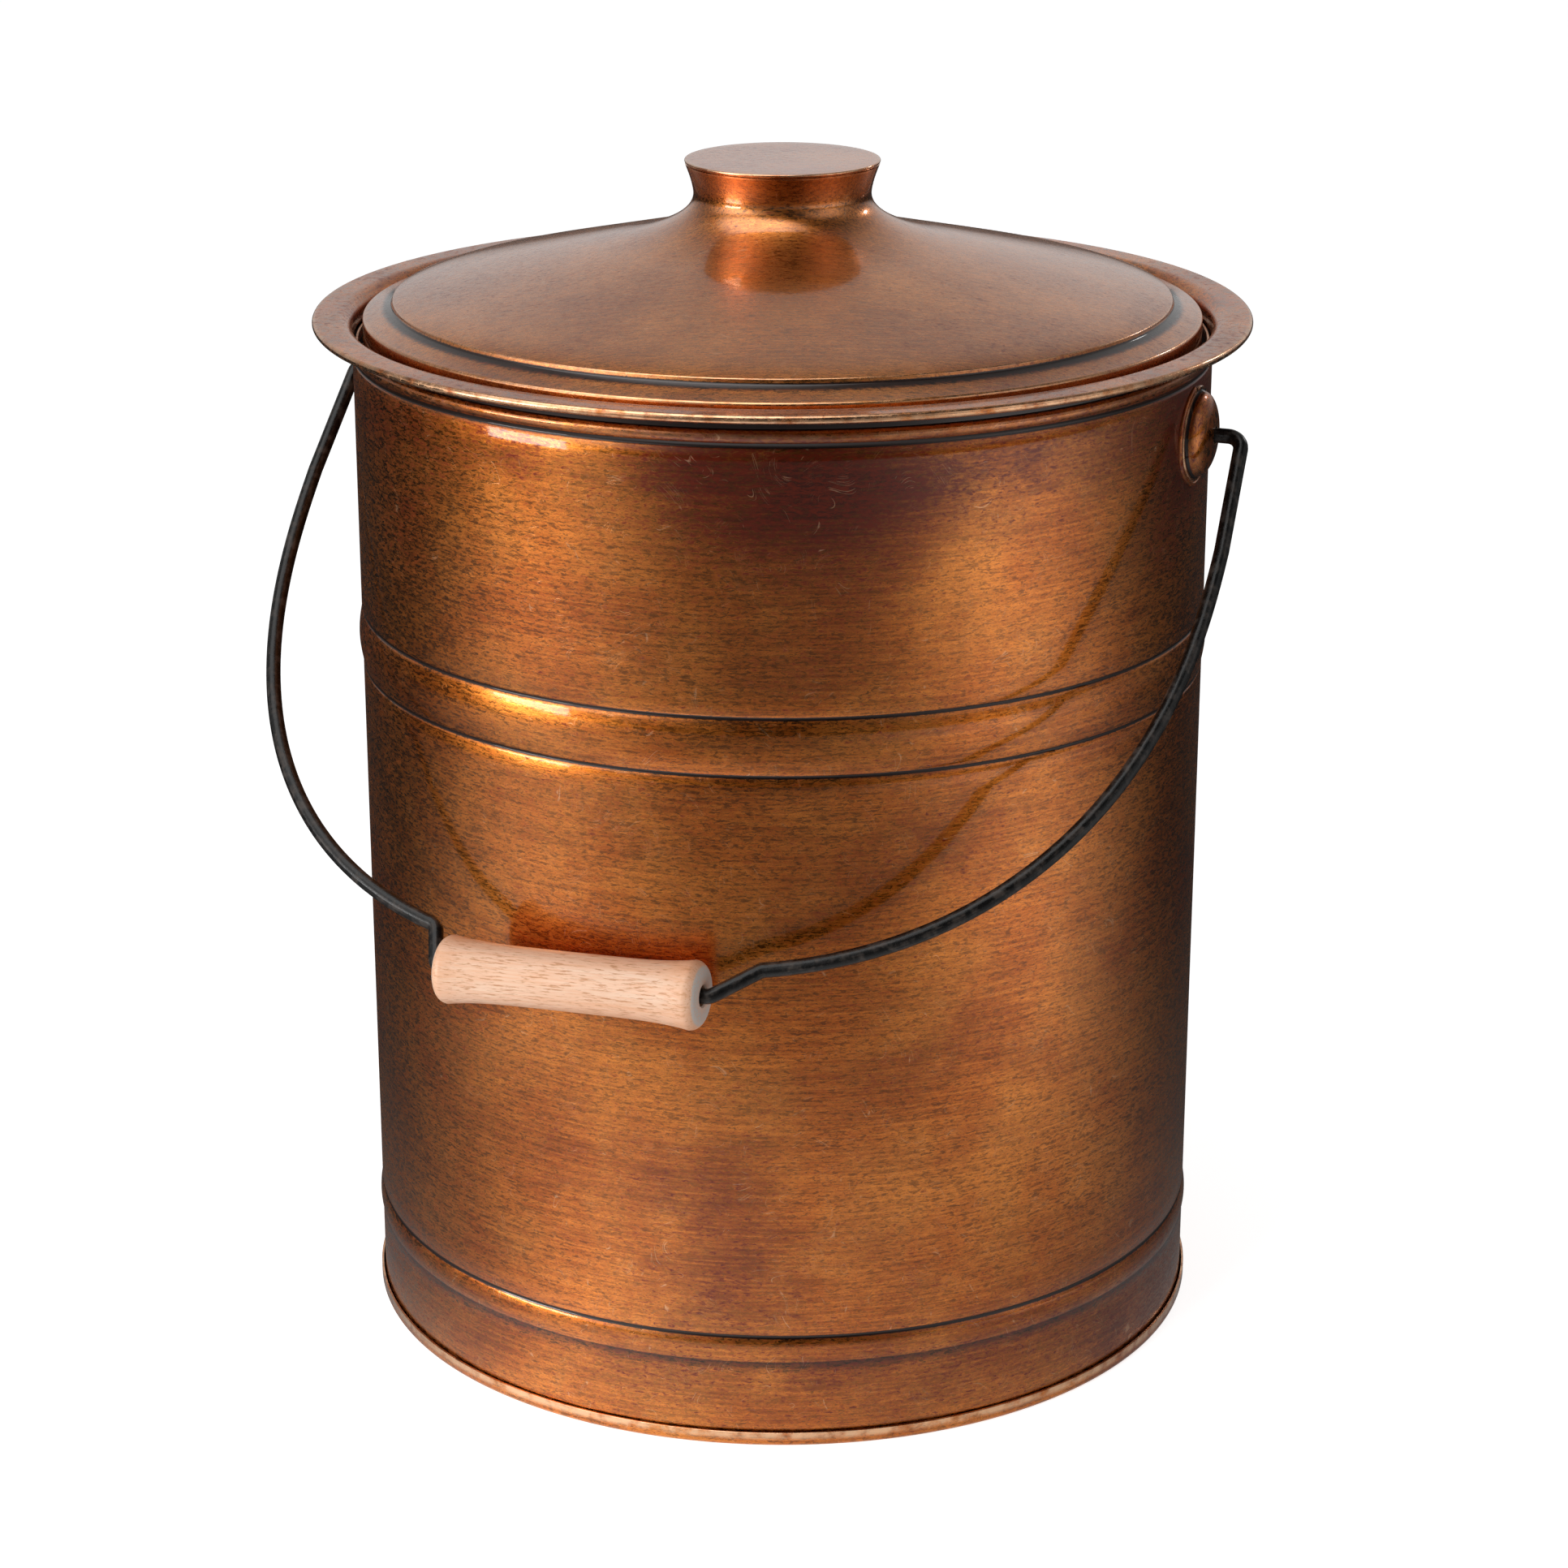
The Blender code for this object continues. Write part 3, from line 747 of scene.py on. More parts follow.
class TurningTree:
    """Geometry Nodes that turn a closed section about Z, in a number of facets and with a slight waviness."""

    WAVE_ROUND: float = 1.3
    WAVE_UP: float = 9.0
    WAVE_SCALE: float = 1.6

    def __init__(self) -> None:
        """Build the tree once; every turned piece shares it."""
        values = {"Turns": "Int", "Waviness": "Float", "Weld": "Float", "Finish": "Material"}
        self.tree, self.keys = open_tree("turned_section", "Section", values)
        self.build(NodeMaker(self.tree))

    def build(self, maker: NodeMaker) -> None:
        """Lay a grid, and wrap it round the axis along the section.

        Args:
            maker: The tree's node maker.
        """
        given = maker.add("NodeGroupInput").outputs
        count = maker.add("GeometryNodeAttributeDomainSize", {0: given["Section"]}).outputs["Point Count"]
        columns = maker.math("ADD", given["Turns"], 1.0)
        rows = maker.math("ADD", count, 1.0)
        sizes = {"Size X": given["Turns"], "Size Y": count, "Vertices X": columns, "Vertices Y": rows}
        grid = maker.add("GeometryNodeMeshGrid", sizes).outputs["Mesh"]
        position = maker.add("GeometryNodeInputPosition").outputs[0]
        spot = maker.add("ShaderNodeSeparateXYZ", {0: position}).outputs
        row = maker.math("ADD", spot["Y"], maker.math("MULTIPLY", count, 0.5))
        index = maker.math("MODULO", maker.math("ROUND", row), count)
        step = maker.math("DIVIDE", math.tau, given["Turns"])
        angle = maker.math("MULTIPLY", spot["X"], step)

        point = self.sampled(maker, given["Section"], position, index, "FLOAT_VECTOR")
        place = maker.add("ShaderNodeSeparateXYZ", {0: point}).outputs
        wave_place = maker.add(
            "ShaderNodeCombineXYZ",
            {
                0: maker.math("MULTIPLY", maker.math("COSINE", angle), self.WAVE_ROUND),
                1: maker.math("MULTIPLY", maker.math("SINE", angle), self.WAVE_ROUND),
                2: maker.math("MULTIPLY", place["Z"], self.WAVE_UP),
            },
        ).outputs[0]
        wave = maker.math("SUBTRACT", maker.noise(wave_place, self.WAVE_SCALE, 1.0), 0.5)
        radius = maker.math("ADD", place["X"], maker.math("MULTIPLY", wave, given["Waviness"]))
        x = maker.math("MULTIPLY", radius, maker.math("COSINE", angle))
        y = maker.math("MULTIPLY", radius, maker.math("SINE", angle))
        spread = maker.add("ShaderNodeCombineXYZ", {0: x, 1: y, 2: place["Z"]}).outputs[0]

        ridge = self.sampled(maker, given["Section"], maker.read("ridge"), index, "FLOAT")
        geometry = maker.store(grid, "ridge", ridge)
        geometry = maker.add("GeometryNodeSetPosition", {"Geometry": geometry, "Position": spread}).outputs[0]
        inputs = {"Geometry": geometry, "Distance": given["Weld"]}
        geometry = maker.add("GeometryNodeMergeByDistance", inputs).outputs[0]
        close_tree(maker, geometry, given["Finish"])

    @staticmethod
    def sampled(maker: NodeMaker, source: Socket, value: Socket, index: Socket, kind: str) -> Socket:
        """Read a value off the section's point of that number."""
        inputs = {"Geometry": source, "Value": value, "Index": index}
        return maker.add("GeometryNodeSampleIndex", inputs, data_type=kind, domain="POINT").outputs[0]


class SweepTree:
    """Geometry Nodes that draw a round wire along a path whose points may be thicker."""

    def __init__(self) -> None:
        """Build the tree once."""
        values = {"Radius": "Float", "Sides": "Int", "Finish": "Material"}
        self.tree, self.keys = open_tree("drawn_wire", "Path", values)
        self.build(NodeMaker(self.tree))

    def build(self, maker: NodeMaker) -> None:
        """Turn the path into a curve and sweep a circle along it.

        Args:
            maker: The tree's node maker.
        """
        given = maker.add("NodeGroupInput").outputs
        path = maker.add("GeometryNodeMeshToCurve", {0: given["Path"]}).outputs[0]
        inputs = {"Curve": path, "Radius": maker.read("stout")}
        path = maker.add("GeometryNodeSetCurveRadius", inputs).outputs[0]
        path = maker.store(path, "length", maker.add("GeometryNodeSplineParameter").outputs["Length"])
        inputs = {"Resolution": given["Sides"], "Radius": given["Radius"]}
        ring = maker.add("GeometryNodeCurvePrimitiveCircle", inputs, mode="RADIUS").outputs[0]
        ring = maker.store(ring, "around", maker.add("GeometryNodeSplineParameter").outputs["Factor"])
        inputs = {"Curve": path, "Profile Curve": ring, "Fill Caps": True}
        geometry = maker.add("GeometryNodeCurveToMesh", inputs).outputs[0]
        angle = maker.math("MULTIPLY", maker.read("around"), math.tau)
        y = maker.math("MULTIPLY", maker.math("COSINE", angle), given["Radius"])
        z = maker.math("MULTIPLY", maker.math("SINE", angle), given["Radius"])
        own = maker.add("ShaderNodeCombineXYZ", {0: maker.read("length"), 1: y, 2: z}).outputs[0]
        geometry = maker.store(geometry, "own", own, "FLOAT_VECTOR")
        close_tree(maker, geometry, given["Finish"])


@dataclass
class Workshop:
    """The tools that the sub-assemblies are made with, and the finishing of each piece."""

    turning: TurningTree = field(default_factory=TurningTree)
    sweeping: SweepTree = field(default_factory=SweepTree)
    weld: float = 0.004 * MM
    crease: float = math.radians(38.0)

    def evaluated(
        self, name: str, source: bpy.types.Mesh, tree: TurningTree | SweepTree, values: dict
    ) -> bpy.types.Object:
        """Run a Geometry Nodes tree over a mesh and keep the result as a plain mesh.

        Args:
            name: Name of the piece.
            source: The mesh that the tree reads.
            tree: The tree.
            values: Value of each of its inputs, by its name.

        Returns:
            The new object.
        """
        maker = placed(name + "_source", source)
        modifier = maker.modifiers.new("make", "NODES")
        modifier.node_group = tree.tree
        for key, value in values.items():
            modifier[tree.keys[key]] = value
        graph = bpy.context.evaluated_depsgraph_get()
        mesh = bpy.data.meshes.new_from_object(maker.evaluated_get(graph))
        mesh.name = name
        bpy.data.objects.remove(maker)
        return placed(name, mesh)

    def turned(
        self,
        name: str,
        section: Section,
        finish: bpy.types.Material,
        turns: int = 256,
        waviness: float = 0.0,
        place: Matrix | None = None,
        reach: float = 0.9 * MM,
    ) -> bpy.types.Object:
        """Make a turned piece.

        Args:
            name: Its name.
            section: Its closed half section.
            finish: Its material.
            turns: Number of facets round it.
            waviness: How far the sheet wanders in and out.
            place: Where it stands, if not on the bucket's axis.
            reach: Scale at which ridges and hollows are found.

        Returns:
            The piece, with its place in its mesh.
        """
        points = np.array(section.cleaned())
        if math.dist(points[0], points[-1]) < CLOSEST:
            points = points[:-1]
        mesh = bpy.data.meshes.new(name + "_section")
        count = len(points)
        mesh.from_pydata([(r, 0.0, z) for r, z in points], [(i, (i + 1) % count) for i in range(count)], [])
        off_axis = points[:, 0] > reach
        ridge = (ridges(points, reach) * off_axis).astype(np.float32)
        mesh.attributes.new("ridge", "FLOAT", "POINT").data.foreach_set("value", ridge)
        values = {"Turns": turns, "Waviness": waviness, "Weld": self.weld, "Finish": finish}
        piece = self.evaluated(name, mesh, self.turning, values)
        own = np.zeros(len(piece.data.vertices) * 3, np.float32)
        piece.data.vertices.foreach_get("co", own)
        piece.data.attributes.new("own", "FLOAT_VECTOR", "POINT").data.foreach_set("vector", own)
        if place is not None:
            piece.data.transform(place)
        return self.closed(piece)

    def drawn(
        self,
        name: str,
        path: Sequence[Sequence[float]],
        stout: np.ndarray,
        radius: float,
        sides: int,
        finish: bpy.types.Material,
    ) -> bpy.types.Object:
        """Make a piece of wire.

        Args:
            name: Its name.
            path: The points along its middle.
            stout: A factor on its radius for each point.
            radius: Its radius.
            sides: Number of facets round it.
            finish: Its material.

        Returns:
            The piece.
        """
        mesh = bpy.data.meshes.new(name + "_path")
        mesh.from_pydata(path, [(i, i + 1) for i in range(len(path) - 1)], [])
        mesh.attributes.new("stout", "FLOAT", "POINT").data.foreach_set("value", stout)
        values = {"Radius": radius, "Sides": sides, "Finish": finish}
        return self.closed(self.evaluated(name, mesh, self.sweeping, values))

    def closed(self, piece: bpy.types.Object) -> bpy.types.Object:
        """Point the faces of a closed piece outwards and shade it.

        Args:
            piece: The piece.

        Returns:
            The same piece.
        """
        shape = bmesh.new()
        shape.from_mesh(piece.data)
        bmesh.ops.dissolve_degenerate(shape, dist=self.weld, edges=shape.edges)
        bmesh.ops.recalc_face_normals(shape, faces=shape.faces)
        open_edges = sum(1 for edge in shape.edges if not edge.is_manifold)
        if open_edges:
            LOG.warning("%s has %d open edges", piece.name, open_edges)
        shape.to_mesh(piece.data)
        shape.free()
        piece.data.shade_smooth()
        piece.data.set_sharp_from_angle(angle=self.crease)
        return piece


def hand_over(piece: bpy.types.Object, body: str, slot: str, *nodes: str) -> bpy.types.Object:
    """Give a finished piece to the frame.

    Args:
        piece: The piece.
        body: Body that it moves with.
        slot: Material slot of the record; not used.
        *nodes: CAD nodes that it stands for.

    Returns:
        The same piece.
    """
    if nodes:
        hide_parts(*nodes)
    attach(piece, body)
    LOG.info("%s rides on %s, %d faces", piece.name, body, len(piece.data.polygons))
    return piece


# ---------------------------------------------------------------- where things are


@dataclass(frozen=True)
class Datum:
    """Places that the pieces are set out from, read off the frame."""

    rim_top: float
    pivot_height: float
    grip_middle: Vector
    grip_axis: Vector

    @classmethod
    def from_frame(cls) -> "Datum":
        """Read the rim's height and the joints.

        Returns:
            The places.
        """
        joints = {joint["name"]: joint for joint in frame["joints"]}
        return cls(
            rim_top=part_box("body_shell")[1][2],
            pivot_height=joints["bail_swing"]["pos_m"][2],
            grip_middle=Vector(joints["grip_spin"]["pos_m"]),
            grip_axis=Vector(joints["grip_spin"]["axis"]).normalized(),
        )


SHEET = 0.5 * MM
PLATE = 0.7 * MM
GAP = 0.3 * MM
WALL_FACETS = 288
LID_FACETS = 256
SEAT_FACETS = 224
PLATE_FACETS = 192
SMALL_FACETS = 96
WIRE_FACETS = 24
SEAM_FACETS = 12


@dataclass
class BucketBody:
    """The wall with its rim, beads and lines, and the wire in the rim."""

    shop: Workshop
    datum: Datum
    copper: bpy.types.Material
    steel: bpy.types.Material
    wall_radius: float = 146.7 * MM
    rim_width: float = 13.3 * MM
    roll: float = 2.7 * MM
    flare: float = 4.6 * MM
    neck_bead: tuple[float, float, float] = (7.2 * MM, 4.6 * MM, 1.3 * MM)
    mid_bead: tuple[float, float, float] = (100.8 * MM, 19.4 * MM, 1.1 * MM)
    line: tuple[float, float] = (2.2 * MM, 0.5 * MM)
    crimp_height: float = 40.0 * MM
    crimp_drop: float = 5.2 * MM
    crimp_proud: float = 0.7 * MM
    foot: float = 1.0 * MM
    waviness: float = 0.12 * MM
    ridge_reach: float = 1.3 * MM
    longest_run: float = 7.0 * MM

    def outline(self) -> Section:
        """Outside of the wall, from the end of the curl down to the foot.

        Returns:
            The open outline.
        """
        top, wall = self.datum.rim_top, self.wall_radius
        half_roll = self.roll / 2
        width, depth = self.line
        rim = wall + self.rim_width
        section = Section().arc((rim - half_roll, top - half_roll), half_roll - SHEET, -150, 90, 22)
        section.arc((wall + self.flare, top - SHEET - self.flare), self.flare, 90, 180, 14)
        bead_top, bead_height, proud = self.neck_bead
        bead_top = top - bead_top
        section.rib(wall, bead_top, bead_height, proud, 14)
        section.line(wall, bead_top - bead_height - width / 2, width, depth)
        bead_top, bead_height, proud = self.mid_bead
        bead_top = top - bead_top
        section.line(wall, bead_top, width, depth)
        section.rib(wall, bead_top - width / 2, bead_height - width, proud, 22, 1.0)
        section.line(wall, bead_top - bead_height, width, depth)
        section.line(wall, self.crimp_height, width, depth)
        section.rib(wall, self.crimp_height - width / 2, 2 * self.crimp_drop - width, self.crimp_proud, 12)
        return section.to((wall, self.foot))

    def build(self) -> None:
        """Make the wall and the rim's wire."""
        section = self.outline().filled_in(self.longest_run).walled(SHEET)
        wall = self.shop.turned(
            "bucket_wall", section, self.copper, WALL_FACETS, self.waviness, reach=self.ridge_reach
        )
        hand_over(wall, "bucket", "copper_body", "body_shell")
        half_roll = self.roll / 2
        rim = self.wall_radius + self.rim_width
        centre = (rim - half_roll, self.datum.rim_top - half_roll)
        section = Section().arc(centre, half_roll - SHEET - GAP, 90, -258, 16)
        wire = self.shop.turned("rim_stiffening_wire", section, self.steel, PLATE_FACETS)
        hand_over(wire, "bucket", "plain_steel", "rim_wire")


@dataclass
class Bottoms:
    """The inner bottom at the crimp line, and the pressed cap under the wall."""

    shop: Workshop
    copper: bpy.types.Material
    steel: bpy.types.Material
    line_inside: float = 145.4 * MM
    inner_height: float = 40.0 * MM
    middle: float = 60.0 * MM
    flange: float = 8.0 * MM
    corner: float = 4.0 * MM
    foot_radius: float = 148.1 * MM
    foot_height: float = 5.2 * MM
    foot_corner: float = 1.8 * MM
    foot_edge: float = 12.0 * MM

    def build(self) -> None:
        """Make both bottoms."""
        radius = self.line_inside - PLATE
        height = self.inner_height
        section = Section().to((radius + PLATE, height + self.flange), (radius + PLATE, height + self.corner))
        section.arc((radius - self.corner, height + self.corner), self.corner + PLATE, 0, -90, 10)
        section.to((self.middle, height - PLATE), (0.0, height - PLATE))
        section.to((0.0, height), (self.middle, height))
        section.arc((radius - self.corner, height + self.corner), self.corner, -90, 0, 8)
        section.to((radius, height + self.flange))
        inner = self.shop.turned("inner_bottom_plate", section, self.steel, PLATE_FACETS)
        hand_over(inner, "bucket", "plain_steel", "inner_bottom")

        corner, foot = self.foot_corner, self.foot_radius
        section = Section().to((foot - 0.1 * MM, self.foot_height), (foot, self.foot_height - 0.1 * MM))
        section.arc((foot - corner, corner), corner, 0, -90, 12)
        inside = foot - self.foot_edge
        section.to((inside, 0.0), (0.0, 0.0), (0.0, PLATE), (inside, PLATE))
        section.arc((foot - corner, corner), corner - PLATE, -90, 0, 8)
        section.to((foot - PLATE, self.foot_height))
        outer = self.shop.turned("outer_bottom_cap", section, self.copper, WALL_FACETS)
        hand_over(outer, "bucket", "copper_body", "outer_bottom")


@dataclass
class LidSeat:
    """The ring inside the mouth that carries the lid."""

    shop: Workshop
    datum: Datum
    copper: bpy.types.Material
    outside: float = 145.4 * MM
    depth: float = 12.8 * MM
    leg: float = 5.2 * MM
    ledge: float = 5.8 * MM
    round: float = 1.0 * MM

    def build(self) -> None:
        """Make the ring: an upright leg and a ledge with a rounded corner between them."""
        top = self.datum.rim_top - self.depth
        out = self.outside
        section = Section().to((out, top + self.leg), (out, top - PLATE + self.round))
        section.arc((out - self.round, top - PLATE + self.round), self.round, 0, -90, 5)
        section.to((out - self.ledge, top - PLATE), (out - self.ledge, top), (out - PLATE - 0.3 * MM, top))
        section.to((out - PLATE, top + 0.3 * MM), (out - PLATE, top + self.leg))
        ring = self.shop.turned("lid_seat", section, self.copper, SEAT_FACETS)
        hand_over(ring, "bucket", "copper_inside", "lid_seat_ring")


@dataclass
class Lid:
    """The spun lid with the neck of the knob, and the disc that closes the knob."""

    shop: Workshop
    datum: Datum
    copper: bpy.types.Material
    cap_copper: bpy.types.Material
    radius: float = 143.0 * MM
    flange: float = 10.2 * MM
    step_base: float = 3.4 * MM
    step_top: float = 5.2 * MM
    skirt: float = 12.5 * MM
    slope: float = 0.229
    edge_turn: float = 1.1 * MM
    edge_reach: float = 5.0 * MM
    soft_edge: float = 0.7 * MM
    fine_width: float = 12.0 * MM
    neck_rise: float = 9.9 * MM
    neck_sweep: float = 30.0 * MM
    waist: float = 30.2 * MM
    neck_flare: float = 2.8 * MM
    neck_height: float = 11.4 * MM
    cap: float = 1.2 * MM
    cap_lip: float = 0.2 * MM
    cap_soft: float = 0.45 * MM
    spigot: float = 2.5 * MM
    waviness: float = 0.08 * MM
    longest_run: float = 5.0 * MM
    ridge_reach: float = 0.6 * MM

    def dome_height(self, radius: float) -> float:
        """Height of the dome above the rim.

        Args:
            radius: Distance from the axis.

        Returns:
            The height: a low cone that sweeps up into the neck, with its edge turned down.
        """
        inwards = self.radius - self.flange - radius
        height = self.step_top + self.slope * inwards
        height += self.edge_turn * (1 - math.exp(-inwards / self.edge_reach))
        from_waist = min(max(radius - self.waist, 0.0) / self.neck_sweep, 1.0)
        return height + self.neck_rise * (1 - math.sqrt(from_waist)) ** 2

    def outline(self) -> Section:
        """Outside of the lid, from the mouth of the knob down to the lower edge of the skirt.

        Returns:
            The open outline, with heights above the rim.
        """
        waist_height = self.dome_height(self.waist)
        neck = self.neck_height - self.cap - GAP
        edge = self.radius - self.flange
        soft = self.soft_edge
        fine = edge - self.fine_width

        def knob_neck(share: float) -> Point:
            """A point of the knob's neck, for a share of its height above the waist."""
            return self.waist + self.neck_flare * share**1.5, waist_height + neck * share

        def sweep(share: float) -> Point:
            """A point of the sweep from the waist out to the dome, with its points closer near the waist."""
            return dome(self.waist + self.neck_sweep * share**2)

        def dome(radius: float) -> Point:
            """A point of the dome at a distance from the axis."""
            return radius, self.dome_height(radius)

        section = Section().curve(knob_neck, 1.0, 0.0, 14).curve(sweep, 0.04, 1.0, 40)
        section.curve(dome, self.waist + self.neck_sweep, fine, 12).curve(dome, fine, edge - soft, 14)
        section.arc((edge - soft, self.step_top - soft + 0.25 * MM), soft, 74, 4, 6)
        section.to((edge + 0.4 * MM, self.step_base + 0.25 * MM), (edge + 0.7 * MM, self.step_base))
        section.to((self.radius - 1.6 * MM, 0.35 * MM))
        section.arc((self.radius - 1.2 * MM, -0.95 * MM), 1.2 * MM, 72, 0, 8)
        return section.to((self.radius, -self.skirt))

    def build(self) -> None:
        """Make the lid and the knob's disc."""
        section = self.outline().raised(self.datum.rim_top).filled_in(self.longest_run).walled(SHEET)
        shell = self.shop.turned("lid_dome", section, self.copper, LID_FACETS, self.waviness)
        hand_over(shell, "lid", "copper_lid", "lid_shell")

        top = self.datum.rim_top + self.dome_height(self.waist) + self.neck_height
        under = top - self.cap
        radius = self.waist + self.neck_flare + self.cap_lip
        spigot = self.waist - SHEET - GAP
        foot = under - self.spigot
        soft = self.cap_soft
        section = Section().to((0.0, top), (radius - 6 * MM, top), (radius - soft, top))
        section.arc((radius - soft, top - soft), soft, 80, -80, 8)
        section.to((radius - 0.6 * MM, under), (spigot, under), (spigot, foot), (spigot - PLATE, foot))
        section.to((spigot - PLATE, under), (0.0, under))
        disc = self.shop.turned("knob_disc", section, self.cap_copper, PLATE_FACETS, reach=self.ridge_reach)
        hand_over(disc, "lid", "copper_lid", "knob_cap")


@dataclass
class Ear:
    """A pressed dome with a narrow flange, fixed to the wall round one end of the bail."""

    shop: Workshop
    datum: Datum
    copper: bpy.types.Material
    side: Side
    wall_radius: float = 146.7 * MM
    radius: float = 16.0 * MM
    dome_radius: float = 14.3 * MM
    proud: float = 7.0 * MM
    hole: float = 2.9 * MM
    flange: float = 1.1 * MM
    ridge_reach: float = 0.7 * MM

    def section(self) -> Section:
        """Half section of the ear about its own axis, with the wall's surface at height 0.

        Returns:
            The closed section.
        """
        first = math.degrees(math.asin(self.hole / self.dome_radius))
        rise = self.proud - self.flange

        def dome(angle: float) -> Point:
            """A point of the dome at an angle from its apex, in degrees."""
            turn = math.radians(angle)
            return self.dome_radius * math.sin(turn), self.flange + rise * math.cos(turn) ** 0.9

        outline = Section().curve(dome, first, 84.0, 26)
        outline.to((self.dome_radius + 0.35 * MM, self.flange * 0.98))
        outline.to((self.radius - 0.25 * MM, self.flange * 0.9))
        outline.to((self.radius, self.flange * 0.6), (self.radius, self.flange * 0.6 - 0.5 * MM))
        return outline.walled(PLATE)

    def build(self) -> None:
        """Make the ear and bend its flange to the wall."""
        name = "ear_" + self.side.name.lower()
        side = self.side.value
        outwards = Matrix.Rotation(side * math.pi / 2, 4, "Y")
        place = Matrix.Translation((side * self.wall_radius, 0.0, self.datum.pivot_height)) @ outwards
        section = self.section()
        piece = self.shop.turned(
            name + "_dome", section, self.copper, SMALL_FACETS, place=place, reach=self.ridge_reach
        )
        for vertex in piece.data.vertices:
            y, out = vertex.co.y, side * vertex.co.x - self.wall_radius
            sag = self.wall_radius - math.sqrt(self.wall_radius**2 - y * y)
            share = 1.0 - min(max(out / self.proud, 0.0), 1.0)
            vertex.co.x -= side * sag * share
        hand_over(piece, "bucket", "copper_ear", name)


@dataclass
class SolderSeam:
    """The uneven bead of solder that holds the front edge of an ear's flange to the wall."""

    shop: Workshop
    datum: Datum
    solder: bpy.types.Material
    side: Side
    wall_radius: float = 146.7 * MM
    seam_radius: float = 16.5 * MM
    thickness: float = 0.95 * MM
    start: float = 75.0
    end: float = -118.0
    fade: float = 12.0
    plain: float = 0.62
    lumps: tuple[tuple[float, float, float], ...] = ((0.16, 7.0, 0.0), (0.12, 13.0, 1.1), (0.09, 29.0, 0.0))
    runs: tuple[tuple[float, float, float], ...] = ((-34.0, 11.0, 1.0), (-78.0, 8.0, 0.45))
    steps: int = 90

    def stoutness(self, angle: float) -> float:
        """How thick the seam is at an angle.

        Args:
            angle: Degrees upwards from the front of the ear.

        Returns:
            A factor on the seam's radius: an uneven bead with a run of solder below the front.
        """
        turn = math.radians(angle)
        lumps = sum(size * math.sin(count * turn + shift) for size, count, shift in self.lumps)
        runs = sum(size * math.exp(-(((angle - at) / width) ** 2)) for at, width, size in self.runs)
        ends = min(1.0, (self.start - angle) / self.fade, (angle - self.end) / self.fade)
        return (self.plain + lumps + runs) * (0.25 + 0.75 * max(ends, 0.0))

    def build(self) -> None:
        """Lay the seam along the flange."""
        side = self.side.value
        path = []
        stout = np.ones(self.steps + 1, np.float32)
        for i in range(self.steps + 1):
            angle = self.start + (self.end - self.start) * i / self.steps
            stout[i] = self.stoutness(angle)
            out = self.seam_radius + 0.25 * self.thickness * stout[i]
            y = -out * math.cos(math.radians(angle))
            z = self.datum.pivot_height + out * math.sin(math.radians(angle))
            path.append((side * math.sqrt(self.wall_radius**2 - y * y), y, z))
        name = "ear_seam_" + self.side.name.lower()
        seam = self.shop.drawn(name, path, stout, self.thickness, SEAM_FACETS, self.solder)
        hand_over(seam, "bucket", "copper_ear")


